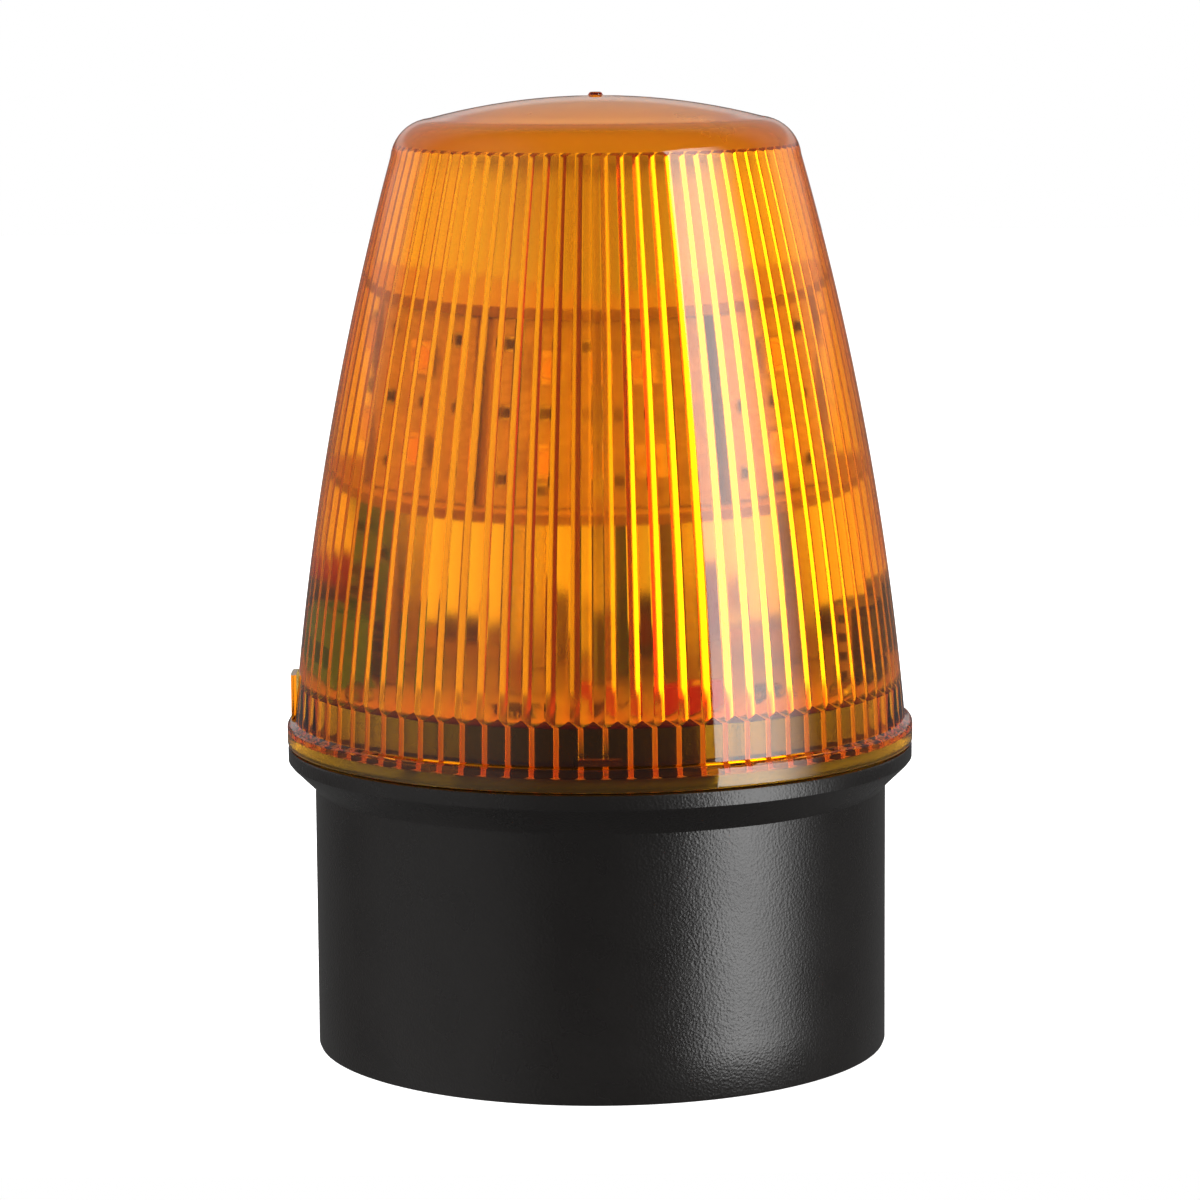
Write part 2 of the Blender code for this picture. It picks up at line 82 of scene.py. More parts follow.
def deselectAll():
    if bpy.context.mode != "OBJECT":
        bpy.ops.object.mode_set(mode="OBJECT")
    bpy.ops.object.select_all(action="DESELECT")


def editStart(piece):
    deselectAll()
    piece.select_set(True)
    bpy.context.view_layer.objects.active = piece
    bpy.ops.object.mode_set(mode="EDIT")


def pick(piece, wanted, kind="VERT"):
    # selects the vertices or faces that the test takes, in edit mode
    bpy.ops.mesh.select_mode(type=kind)
    bpy.ops.mesh.select_all(action="DESELECT")
    shape = bmesh.from_edit_mesh(piece.data)
    for item in shape.verts if kind == "VERT" else shape.faces:
        place = item.co if kind == "VERT" else item.calc_center_median()
        if wanted(place):
            item.select_set(True)
    shape.select_flush(True)
    bmesh.update_edit_mesh(piece.data)


def fillHole(piece, wanted):
    # closes an open ring of vertices with one face
    editStart(piece)
    pick(piece, wanted)
    bpy.ops.mesh.edge_face_add()
    bpy.ops.object.mode_set(mode="OBJECT")


def paintFaces(piece, material, wanted):
    # gives the faces that the test takes a second material
    piece.data.materials.append(material)
    editStart(piece)
    pick(piece, wanted, "FACE")
    piece.active_material_index = 1
    bpy.ops.object.material_slot_assign()
    bpy.ops.object.mode_set(mode="OBJECT")


def onlyMaterial(piece, material):
    piece.data.materials.clear()
    piece.data.materials.append(material)


def finishPiece(piece, material, angle=30):
    # closes the seams, turns the faces out, puts the place into the mesh and shades the round parts smooth
    editStart(piece)
    bpy.ops.mesh.select_all(action="SELECT")
    bpy.ops.mesh.remove_doubles(threshold=0.000002)
    bpy.ops.mesh.normals_make_consistent(inside=False)
    bpy.ops.object.mode_set(mode="OBJECT")
    bpy.ops.object.transform_apply(location=True, rotation=True, scale=True)
    bpy.ops.object.shade_smooth_by_angle(angle=radians(angle))
    onlyMaterial(piece, material)
    return piece


def shifted(piece, place, turn=0.0):
    # moves a piece's mesh, turned about its origin first
    editStart(piece)
    bpy.ops.mesh.select_all(action="SELECT")
    if turn:
        bpy.ops.transform.rotate(value=-radians(turn), orient_axis="Z", center_override=(0, 0, 0))
    bpy.ops.transform.translate(value=tuple(part * mm for part in place))
    bpy.ops.object.mode_set(mode="OBJECT")
    return piece


def laidOver(piece, axis="X"):  # its top turned to face the front, or about Y to face right
    editStart(piece)
    bpy.ops.mesh.select_all(action="SELECT")
    bpy.ops.transform.rotate(value=-pi / 2, orient_axis=axis, center_override=(0, 0, 0))
    bpy.ops.object.mode_set(mode="OBJECT")
    return piece


def copyTo(piece, name, place, turn=0.0):
    copy = piece.copy()
    copy.data = piece.data.copy()
    copy.name = name
    bpy.context.scene.collection.objects.link(copy)
    return shifted(copy, place, turn)


def joined(name, pieces):
    deselectAll()
    for piece in pieces:
        piece.select_set(True)
    bpy.context.view_layer.objects.active = pieces[0]
    bpy.ops.object.join()
    pieces[0].name = name
    return pieces[0]


def combine(piece, other, operation):
    # adds the other shape to the piece or cuts it away, and removes it
    joint = piece.modifiers.new("joint", "BOOLEAN")
    joint.operation = operation
    joint.solver = "EXACT"
    joint.object = other
    deselectAll()
    piece.select_set(True)
    bpy.context.view_layer.objects.active = piece
    bpy.ops.object.modifier_apply(modifier=joint.name)
    bpy.data.objects.remove(other)
    return piece


def addBlock(size, middle, turn=0):
    # a block of a size in mm about a middle, turned about the vertical axis
    deselectAll()
    bpy.ops.mesh.primitive_cube_add(size=1.0)
    block = bpy.context.object
    bpy.ops.object.mode_set(mode="EDIT")
    bpy.ops.transform.resize(value=tuple(side * mm for side in size), center_override=(0, 0, 0))
    bpy.ops.transform.translate(value=tuple(part * mm for part in middle))
    if turn:
        bpy.ops.transform.rotate(value=-radians(turn), orient_axis="Z", center_override=(0, 0, 0))
    bpy.ops.object.mode_set(mode="OBJECT")
    return block


def bevelled(piece, width, segments):
    editStart(piece)
    bpy.ops.mesh.select_all(action="SELECT")
    bpy.ops.mesh.bevel(offset=width * mm, segments=segments, affect="EDGES")
    bpy.ops.object.mode_set(mode="OBJECT")
    return piece


def ringBody(name, outline, steps, startFill="NOTHING"):
    # one circle drawn out ring by ring along an outline of (radius, height) in mm; a last radius of 0 is a pole
    deselectAll()
    radius, height = outline[0]
    bpy.ops.mesh.primitive_circle_add(vertices=steps, radius=radius * mm, fill_type=startFill,
                                      location=(0, 0, height * mm))
    piece = bpy.context.object
    piece.name = name
    bpy.ops.object.mode_set(mode="EDIT")
    bpy.ops.mesh.select_mode(type="EDGE" if startFill == "NOTHING" else "FACE")
    bpy.ops.mesh.select_all(action="SELECT")
    for (r0, z0), (r1, z1) in zip(outline, outline[1:]):
        bpy.ops.mesh.extrude_region_move(TRANSFORM_OT_translate={"value": (0, 0, (z1 - z0) * mm)})
        if r1 == 0:
            bpy.ops.mesh.merge(type="CENTER")
        elif r1 != r0:
            bpy.ops.transform.resize(value=(r1 / r0, r1 / r0, 1), center_override=(0, 0, 0))
    bpy.ops.object.mode_set(mode="OBJECT")
    bpy.ops.object.transform_apply(location=True, rotation=True, scale=True)
    return piece


def solidRing(name, outline, steps):  # the same with its first ring filled
    return ringBody(name, outline, steps, "NGON")


def arcPoints(start, end, bend, steps):
    # points after the start of an arc that bulges away from the axis
    chord = Vector(end) - Vector(start)
    middle = (Vector(start) + Vector(end)) / 2
    centre = middle + Vector((-chord.y, chord.x)).normalized() * sqrt(bend**2 - (chord.length / 2) ** 2)
    first = atan2(start[1] - centre.y, start[0] - centre.x)
    sweep = 2 * asin(chord.length / 2 / bend)
    turns = [first + sweep * i / steps for i in range(1, steps + 1)]
    return [(centre.x + bend * cos(turn), centre.y + bend * sin(turn)) for turn in turns]


def domePoints(edge, top, bend, steps, last=0.0):
    radii = [edge + (last - edge) * i / steps for i in range(1, steps + 1)]
    return [(r, top - bend + sqrt(bend**2 - r**2)) for r in radii]


def wedge(inner, outer, low, high, turn, half):
    # a short curved block about the axis, between two radii and two heights in mm
    deselectAll()
    bpy.ops.mesh.primitive_plane_add(size=1.0, location=(0, 0, 0))
    block = bpy.context.object
    bpy.ops.object.mode_set(mode="EDIT")
    bpy.ops.transform.resize(value=((outer - inner) * mm, 1, 1), center_override=(0, 0, 0))
    bpy.ops.transform.rotate(value=pi / 2, orient_axis="X", center_override=(0, 0, 0))
    bpy.ops.transform.resize(value=(1, 1, (high - low) * mm), center_override=(0, 0, 0))
    bpy.ops.transform.translate(value=((outer + inner) / 2 * mm, 0, (low + high) / 2 * mm))
    bpy.ops.transform.rotate(value=-radians(turn - half), orient_axis="Z", center_override=(0, 0, 0))
    bpy.ops.mesh.select_all(action="SELECT")
    bpy.ops.mesh.spin(steps=8, angle=-radians(2 * half), center=(0, 0, 0), axis=(0, 0, 1))
    bpy.ops.mesh.select_all(action="SELECT")
    bpy.ops.mesh.normals_make_consistent(inside=False)
    bpy.ops.object.mode_set(mode="OBJECT")
    return block


def handOver(piece, body, node=None):
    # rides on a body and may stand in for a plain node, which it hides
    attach(piece, body)
    if node:
        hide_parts(node)


amberLook = {
    "tint": "#FFECA0", "throughShadow": "#FFDF81", "absorb": "#FEEC27", "density": 1100.0, "ior": 1.585,
    "gloss": (0.02, 0.06), "satin": 0.10, "haze": 0.05, "wallGlow": "#DFFAAA", "edgeGlow": "#FFDD89",
}


def polishedPolycarbonate(name, s):
    # clear amber polycarbonate moulded in a polished tool: a saturated amber that reddens where light travels far
    # in it; the ribbed inside is a little duller and milkier than the skin, by the mesh's attribute "within"
    material, tree, shader, place = newMaterial(name)
    cloudy = addNode(tree, "ShaderNodeTexNoise", Vector=place, Scale=1 / (11.0 * mm), Detail=3.0)
    within = addNode(tree, "ShaderNodeAttribute", {"attribute_name": "within"}).outputs["Fac"]
    rough = addNode(tree, "ShaderNodeMapRange", Value=cloudy.outputs["Fac"],
                    To_Min=s["gloss"][0], To_Max=s["gloss"][1])
    satin = addNode(tree, "ShaderNodeMath", {"operation": "MULTIPLY_ADD"}, i0=within, i1=s["satin"],
                    i2=rough.outputs["Result"])
    tree.links.new(satin.outputs[0], shader.inputs["Roughness"])
    shader.inputs["Base Color"].default_value = hexColour(s["tint"])
    shader.inputs["IOR"].default_value = s["ior"]
    shader.inputs["Transmission Weight"].default_value = 1.0
    # the milky share, yellower on the wall and redder on the crests of the partitions
    strong = addNode(tree, "ShaderNodeMapRange", Value=within, From_Min=4.0, From_Max=9.0)
    tint = addNode(tree, "ShaderNodeMix", colours, i0=strong.outputs[0],
                   i6=hexColour(s["wallGlow"]), i7=hexColour(s["edgeGlow"]))
    through = addNode(tree, "ShaderNodeBsdfTranslucent", Color=tint.outputs[2])
    back = addNode(tree, "ShaderNodeBsdfDiffuse", Color=tint.outputs[2])
    glow = addNode(tree, "ShaderNodeMixShader", Fac=0.5, i1=through.outputs[0], i2=back.outputs[0])
    share = addNode(tree, "ShaderNodeMath", {"operation": "MULTIPLY"}, i0=within, i1=s["haze"])
    milky = addNode(tree, "ShaderNodeMixShader", Fac=share.outputs[0], i1=shader.outputs[0], i2=glow.outputs[0])
    # lamps shine through it, tinted
    rays = addNode(tree, "ShaderNodeLightPath")
    clear = addNode(tree, "ShaderNodeBsdfTransparent", Color=hexColour(s["throughShadow"]))
    both = addNode(tree, "ShaderNodeMixShader", Fac=rays.outputs["Is Shadow Ray"],
                   i1=milky.outputs[0], i2=clear.outputs[0])
    volume = addNode(tree, "ShaderNodeVolumeAbsorption", Color=hexColour(s["absorb"]), Density=s["density"])
    out = tree.nodes["Material Output"]
    tree.links.new(both.outputs[0], out.inputs["Surface"])
    tree.links.new(volume.outputs[0], out.inputs["Volume"])
    return material


def sparkErodedAbs(name, dark, light):
    # black ABS from a spark-eroded tool: near black, with a fine even grain that breaks up the sheen
    # its real grain of about 0.2 mm is drawn coarser, so that it shows
    material, tree, shader, place = newMaterial(name)
    grain = addNode(tree, "ShaderNodeTexVoronoi", Vector=place, Scale=1 / (0.45 * mm))
    fine = addNode(tree, "ShaderNodeTexNoise", Vector=place, Scale=1 / (0.30 * mm), Detail=2.0)
    both = addNode(tree, "ShaderNodeMath", {"operation": "ADD"}, i0=grain.outputs["Distance"], i1=fine.outputs["Fac"])
    bump = addNode(tree, "ShaderNodeBump", Strength=0.4, Distance=0.07 * mm, Height=both.outputs[0])
    tree.links.new(bump.outputs[0], shader.inputs["Normal"])
    drift = addNode(tree, "ShaderNodeTexNoise", Vector=place, Scale=1 / (9.0 * mm), Detail=3.0)
    tint = addNode(tree, "ShaderNodeMix", colours, i0=drift.outputs["Fac"], i6=hexColour(dark), i7=hexColour(light))
    tree.links.new(tint.outputs[2], shader.inputs["Base Color"])
    rough = addNode(tree, "ShaderNodeMapRange", Value=drift.outputs["Fac"], From_Min=0.3, From_Max=0.7,
                    To_Min=0.26, To_Max=0.30)
    tree.links.new(rough.outputs["Result"], shader.inputs["Roughness"])
    shader.inputs["IOR"].default_value = 1.54
    return material


def moulded(name, code, roughness, grain=0.35, depth=0.02, shift=0.12):
    # an injection-moulded or dipped surface: a fine even grain in mm, and a slight drift of colour and sheen
    material, tree, shader, place = newMaterial(name)
    drift = addNode(tree, "ShaderNodeTexNoise", Vector=place, Scale=1 / (6.25 * mm), Detail=3.0)
    tint = addNode(tree, "ShaderNodeHueSaturation", Color=hexColour(code))
    value = addNode(tree, "ShaderNodeMapRange", Value=drift.outputs["Fac"], From_Min=0.3, From_Max=0.7,
                    To_Min=1 - shift, To_Max=1 + shift)
    tree.links.new(value.outputs["Result"], tint.inputs["Value"])
    tree.links.new(tint.outputs["Color"], shader.inputs["Base Color"])
    rough = addNode(tree, "ShaderNodeMapRange", Value=drift.outputs["Fac"], From_Min=0.3, From_Max=0.7,
                    To_Min=roughness - 0.06, To_Max=roughness + 0.06)
    tree.links.new(rough.outputs["Result"], shader.inputs["Roughness"])
    fine = addNode(tree, "ShaderNodeTexNoise", Vector=place, Scale=1 / (grain * mm), Detail=2.0)
    bump = addNode(tree, "ShaderNodeBump", Strength=0.4, Distance=depth * mm, Height=fine.outputs["Fac"])
    tree.links.new(bump.outputs[0], shader.inputs["Normal"])
    return material


def plated(name, code, roughness):
    # a plated or turned metal: even colour, with fine marks across it that streak the highlight
    material, tree, shader, place = newMaterial(name)
    across = addNode(tree, "ShaderNodeMapping", Vector=place, Scale=(1.0, 1.0, 9.0))
    marks = addNode(tree, "ShaderNodeTexNoise", Vector=across.outputs[0], Scale=1 / (1.25 * mm), Detail=4.0)
    rough = addNode(tree, "ShaderNodeMapRange", Value=marks.outputs["Fac"], From_Min=0.3, From_Max=0.7,
                    To_Min=roughness - 0.08, To_Max=roughness + 0.08)
    bump = addNode(tree, "ShaderNodeBump", Strength=0.25, Distance=0.01 * mm, Height=marks.outputs["Fac"])
    tree.links.new(rough.outputs["Result"], shader.inputs["Roughness"])
    tree.links.new(bump.outputs[0], shader.inputs["Normal"])
    shader.inputs["Base Color"].default_value = hexColour(code)
    shader.inputs["Metallic"].default_value = 1.0
    return material


boardLook = {"pitch": 1.9, "tin": "#B9B6AB", "rawDark": "#6E6138", "rawLight": "#B3A574"}


def solderMasked(name, mask, track, upright):
    # glass epoxy board under a solder mask: raised copper tracks, small tinned holes and a raw tan cut edge
    s = boardLook
    material, tree, shader, place = newMaterial(name)
    nearest, second = (
        addNode(tree, "ShaderNodeTexVoronoi", {"feature": feature, "distance": "MANHATTAN"},
                Vector=place, Scale=1 / (s["pitch"] * mm)).outputs["Distance"] for feature in ("F1", "F2"))
    gap = addNode(tree, "ShaderNodeMath", {"operation": "SUBTRACT"}, i0=second, i1=nearest)
    line = addNode(tree, "ShaderNodeMapRange", Value=gap.outputs[0], From_Min=0.30, From_Max=0.22)
    hole = addNode(tree, "ShaderNodeMapRange", Value=nearest, From_Min=0.11, From_Max=0.07)
    painted = addNode(tree, "ShaderNodeMix", colours, i0=line.outputs[0], i6=hexColour(mask), i7=hexColour(track))
    tinned = addNode(tree, "ShaderNodeMix", colours, i0=hole.outputs[0],
                     i6=painted.outputs[2], i7=hexColour(s["tin"]))
    # a cut edge is where the surface faces along the board: an upright board faces away from the axis
    facing = addNode(tree, "ShaderNodeNewGeometry").outputs["True Normal"]
    if upright:
        level = addNode(tree, "ShaderNodeVectorMath", {"operation": "MULTIPLY"}, i0=place, i1=(1, 1, 0))
        outward = addNode(tree, "ShaderNodeVectorMath", {"operation": "NORMALIZE"}, i0=level.outputs[0])
        face = addNode(tree, "ShaderNodeVectorMath", {"operation": "DOT_PRODUCT"},
                       i0=facing, i1=outward.outputs[0]).outputs["Value"]
    else:
        face = addNode(tree, "ShaderNodeSeparateXYZ", Vector=facing).outputs["Z"]
    flat = addNode(tree, "ShaderNodeMath", {"operation": "ABSOLUTE"}, i0=face)
    edge = addNode(tree, "ShaderNodeMath", {"operation": "LESS_THAN"}, i0=flat.outputs[0], i1=0.6)
    layers = addNode(tree, "ShaderNodeTexNoise", Vector=place, Scale=1 / (0.6 * mm), Detail=3.0)
    raw = addNode(tree, "ShaderNodeMix", colours, i0=layers.outputs["Fac"],
                  i6=hexColour(s["rawDark"]), i7=hexColour(s["rawLight"]))
    whole = addNode(tree, "ShaderNodeMix", colours, i0=edge.outputs[0], i6=tinned.outputs[2], i7=raw.outputs[2])
    tree.links.new(whole.outputs[2], shader.inputs["Base Color"])
    tree.links.new(hole.outputs[0], shader.inputs["Metallic"])
    rough = addNode(tree, "ShaderNodeMapRange", Value=edge.outputs[0], To_Min=0.38, To_Max=0.75)
    tree.links.new(rough.outputs["Result"], shader.inputs["Roughness"])
    bump = addNode(tree, "ShaderNodeBump", Strength=0.6, Distance=0.03 * mm, Height=line.outputs[0])
    tree.links.new(bump.outputs[0], shader.inputs["Normal"])
    return material


sleeveLook = {"black": "#171A22", "stripe": "#A9A79C", "stripeTurn": -1.9, "stripeHalf": 0.42, "dashHalf": 0.14}


def shrunkSleeve(name, centre):
    # PVC sleeve shrunk over the can: near black with a soft ripple, and a pale dashed stripe down one side
    s = sleeveLook
    material, tree, shader, place = newMaterial(name)
    own = addNode(tree, "ShaderNodeMapping", {"vector_type": "POINT"}, Vector=place,
                  Location=(-centre[0] * mm, -centre[1] * mm, 0))
    parts = addNode(tree, "ShaderNodeSeparateXYZ", Vector=own.outputs[0]).outputs
    turn = addNode(tree, "ShaderNodeMath", {"operation": "ARCTAN2"}, i0=parts["Y"], i1=parts["X"])
    offset = addNode(tree, "ShaderNodeMath", {"operation": "SUBTRACT"}, i0=turn.outputs[0], i1=s["stripeTurn"])
    away = addNode(tree, "ShaderNodeMath", {"operation": "ABSOLUTE"}, i0=offset.outputs[0])
    stripe = addNode(tree, "ShaderNodeMath", {"operation": "LESS_THAN"}, i0=away.outputs[0], i1=s["stripeHalf"])
    dash = addNode(tree, "ShaderNodeTexWave", {"bands_direction": "Z"}, Vector=place, Scale=1 / (9.0 * mm))
    mark = addNode(tree, "ShaderNodeMath", {"operation": "GREATER_THAN"}, i0=dash.outputs["Fac"], i1=0.55)
    thin = addNode(tree, "ShaderNodeMath", {"operation": "LESS_THAN"}, i0=away.outputs[0], i1=s["dashHalf"])
    bar = addNode(tree, "ShaderNodeMath", {"operation": "MULTIPLY"}, i0=mark.outputs[0], i1=thin.outputs[0])
    black = hexColour(s["black"])
    pale = addNode(tree, "ShaderNodeMix", colours, i0=stripe.outputs[0], i6=black, i7=hexColour(s["stripe"]))
    both = addNode(tree, "ShaderNodeMix", colours, i0=bar.outputs[0], i6=pale.outputs[2], i7=black)
    tree.links.new(both.outputs[2], shader.inputs["Base Color"])
    ripple = addNode(tree, "ShaderNodeTexNoise", Vector=place, Scale=1 / (2.0 * mm), Detail=2.0)
    rough = addNode(tree, "ShaderNodeMapRange", Value=ripple.outputs["Fac"], To_Min=0.18, To_Max=0.40)
    tree.links.new(rough.outputs["Result"], shader.inputs["Roughness"])
    bump = addNode(tree, "ShaderNodeBump", Strength=0.3, Distance=0.03 * mm, Height=ripple.outputs["Fac"])
    tree.links.new(bump.outputs[0], shader.inputs["Normal"])
    return material


def curedSilicone(name, dark, light):
    # silicone with yellow phosphor, cured in the diode's cup: slightly cloudy, with a soft sheen
    material, tree, shader, place = newMaterial(name)
    cloud = addNode(tree, "ShaderNodeTexNoise", Vector=place, Scale=1 / (0.8 * mm), Detail=4.0)
    tint = addNode(tree, "ShaderNodeMix", colours, i0=cloud.outputs["Fac"], i6=hexColour(dark), i7=hexColour(light))
    tree.links.new(tint.outputs[2], shader.inputs["Base Color"])
    rough = addNode(tree, "ShaderNodeMapRange", Value=cloud.outputs["Fac"], To_Min=0.10, To_Max=0.25)
    tree.links.new(rough.outputs["Result"], shader.inputs["Roughness"])
    shader.inputs["Subsurface Weight"].default_value = 0.3
    shader.inputs["Subsurface Radius"].default_value = (0.6 * mm, 0.5 * mm, 0.2 * mm)
    shader.inputs["Subsurface Scale"].default_value = 1.0
    return material


lensSizes = {
    "foot": 47.4, "rim": 48.39, "rimTop": 50.1, "sealWall": 47.1, "sealStep": 49.3,
    "flankFoot": (47.2, 51.2), "flankTop": (31.3, 137.4), "flankBend": 470.0,
    "shoulderBend": 6.5, "domeEdge": 25.5, "domeTop": 146.45, "domeBend": 100.0, "nub": 1.1, "top": 146.98,
    "wallFoot": (45.2, 56.8), "wallTop": (29.6, 138.2),
    "ceilingEdge": 25.2, "ceilingTop": 145.0, "ceilingBend": 90.0, "cornerBend": 5.3,
    "ribs": 80, "ribTurn": 1.0, "ribDepth": 0.0255, "footRise": 0.5, "valleyHalf": 0.12, "ridgeHalf": 0.16,
    "partitionHalf": 0.40, "partitionFoot": 0.50, "partitionDepth": 0.28,
    "pad": (46.9, 47.75, 50.95, 58.0, 180, 4),  # inner and outer radius, foot, top, turn, half width in degrees
    "lug": (43.9, 45.4, 50.0, 51.8), "lugTurns": (30, 150, 270), "lugHalf": 4,
    # how milky each part of the inside is
    "footGlow": 1.2, "partitionGlow": 12.0, "ribFootGlow": 1.8, "wallGlow": 1.0, "domeGlow": 2.4,
}


def cloudiness(place):
    # the band's windows are clear, its partitions and the two foot edges glow
    s = lensSizes
    height, radius = place.z / mm, hypot(place.x, place.y) / mm
    if height < s["foot"] + 0.05:
        return s["footGlow"]
    if height < s["sealStep"] + 0.01 and radius > s["wallFoot"][0] + 0.5:
        return 0.0
    if height < s["wallFoot"][1] - 0.1:
        return s["partitionGlow"] if radius < s["wallFoot"][0] - 0.5 * s["partitionDepth"] else 0.0
    if height < s["wallFoot"][1] + 0.1:
        return s["ribFootGlow"]
    return s["wallGlow"] if height < s["wallTop"][1] + 0.2 else s["domeGlow"]


def addGlow(piece, values):
    glow = piece.data.attributes.new("within", "FLOAT", "POINT")
    glow.data.foreach_set("value", values)


def ribPoint(place):  # which of the four points of its rib a point on an even ring is
    return round(degrees(atan2(place.y, place.x)) * 4 * lensSizes["ribs"] / 360) % 4


def onWall(place, kinds, low, high):
    within = hypot(place.x, place.y) < (lensSizes["wallFoot"][0] + 0.05) * mm
    return low * mm < place.z < high * mm and ribPoint(place) in kinds and within


def shrinkAt(piece, kinds, low, high, scale):
    pick(piece, lambda place: onWall(place, kinds, low, high))
    bpy.ops.transform.resize(value=(scale, scale, 1), center_override=(0, 0, 0))


def outsideOutline(s):
    bend = s["domeBend"]
    domeEdge = (s["domeEdge"], s["domeTop"] - bend + sqrt(bend**2 - s["domeEdge"] ** 2))
    rim, foot, rimTop = s["rim"], s["foot"], s["rimTop"]
    outline = [(s["sealWall"], foot), (rim - 0.35, foot), (rim - 0.1, foot + 0.1), (rim, foot + 0.35), (rim, rimTop)]
    outline += arcPoints((rim, rimTop), (rim - 0.75, rimTop + 0.85), 0.85, 4)
    outline += [s["flankFoot"]]
    outline += arcPoints(s["flankFoot"], s["flankTop"], s["flankBend"], 24)
    outline += arcPoints(s["flankTop"], domeEdge, s["shoulderBend"], 10)
    outline += domePoints(s["domeEdge"], s["domeTop"], bend, 10, 1.6)
    nub, top = s["nub"], s["top"]
    outline += [(nub + 0.15, s["domeTop"] + 0.03), (nub, s["domeTop"] + 0.12), (nub - 0.1, top - 0.15),
                (nub - 0.35, top), (0, top)]
    return outline


def insideOutline(s):
    foot, top, bend = s["wallFoot"], s["wallTop"], s["ceilingBend"]
    outline = [(s["sealWall"], s["foot"]), (s["sealWall"], s["sealStep"]), (foot[0], s["sealStep"]),
               (foot[0], foot[1] - 0.4), foot]
    outline += arcPoints(foot, top, s["flankBend"], 16)
    ceilingFoot = (top[0] * (1 - s["ribDepth"]), top[1] + 0.3)
    ceilingEdge = (s["ceilingEdge"], s["ceilingTop"] - bend + sqrt(bend**2 - s["ceilingEdge"] ** 2))
    outline += [ceilingFoot]
    outline += arcPoints(ceilingFoot, ceilingEdge, s["cornerBend"], 8)
    outline += domePoints(s["ceilingEdge"], s["ceilingTop"], bend, 16)
    return outline


def buildLens(material):
    s = lensSizes
    foot, top = s["wallFoot"], s["wallTop"]
    band, wall = (s["sealStep"] - 0.01, foot[1] - 0.1), (foot[1] - 0.01, top[1] + 0.1)  # the heights of their rings
    outer = ringBody("lens", outsideOutline(s), 4 * s["ribs"])
    inner = ringBody("lensInside", insideOutline(s), 4 * s["ribs"])
    editStart(inner)
    # points 2 and 3 of each rib are drawn in towards the axis as its ridge, 0 and 1 stay at the wall as the valley
    shrinkAt(inner, (2, 3), *wall, 1 - s["ribDepth"])
    shrinkAt(inner, (0, 1), *band, 1 - s["partitionDepth"] / foot[0])
    pick(inner, lambda place: abs(place.z - foot[1] * mm) < 0.00001 and ribPoint(place) in (2, 3))
    bpy.ops.transform.translate(value=(0, 0, s["footRise"] * mm))
    pitch = 360 / s["ribs"]
    bandTurns = (-s["partitionHalf"], s["partitionHalf"], s["partitionFoot"], pitch - s["partitionFoot"])
    ribTurns = (-s["valleyHalf"], s["valleyHalf"], pitch / 2 - s["ridgeHalf"], pitch / 2 + s["ridgeHalf"])
    for (low, high), turns in ((band, bandTurns), (wall, ribTurns)):
        # in an order that never moves a point onto a place still to be picked
        for kind in (0, 1, 2, 3) if turns[2] > pitch / 4 else (0, 1, 3, 2):
            pick(inner, lambda place: onWall(place, (kind,), low, high))
            turn = turns[kind] - kind * pitch / 4
            bpy.ops.transform.rotate(value=-radians(turn), orient_axis="Z", center_override=(0, 0, 0))
    deselectAll()
    addGlow(inner, [cloudiness(v.co) for v in inner.data.vertices])
    addGlow(outer, [s["footGlow"] if v.co.z < (s["foot"] + 0.05) * mm else 0.0 for v in outer.data.vertices])
    lens = joined("lens", [outer, inner])
    lens.rotation_euler.z = radians(s["ribTurn"])
    finishPiece(lens, material, 20)
    combine(lens, wedge(*s["pad"]), "UNION")
    for turn in s["lugTurns"]:
        combine(lens, wedge(*s["lug"], turn, s["lugHalf"]), "UNION")
    onlyMaterial(lens, material)
    handOver(lens, "lens", "lens")
    return lens


baseSizes = {
    "radius": 44.2, "inner": 42.0, "floor": 3.0, "flareFoot": 41.0, "flange": 48.3, "flareTop": 44.7,
    "flangeTop": 47.1, "collar": 44.7, "collarTop": 56.5, "cableHole": 10.0,
    "gasketInner": 36.5, "gasketOuter": 40.5, "gasketGroove": 1.8,
    "fixing": 2.4, "fixingPlaces": ((30, 0), (-30, 0)),
    "boss": 3.4, "bossCentre": 36.8, "bossTop": 54.5, "bossTurns": (90, 210, 330),
    "bossHole": 1.5, "bossHoleFoot": 42.8, "web": (5.6, 2.0), "webCentre": 40.0,
    "lockInner": 43.6, "lockRun": (49.7, 52.1), "lockTurns": (30, 150, 270), "lockTravel": 22, "lockHalf": 5.0,
}


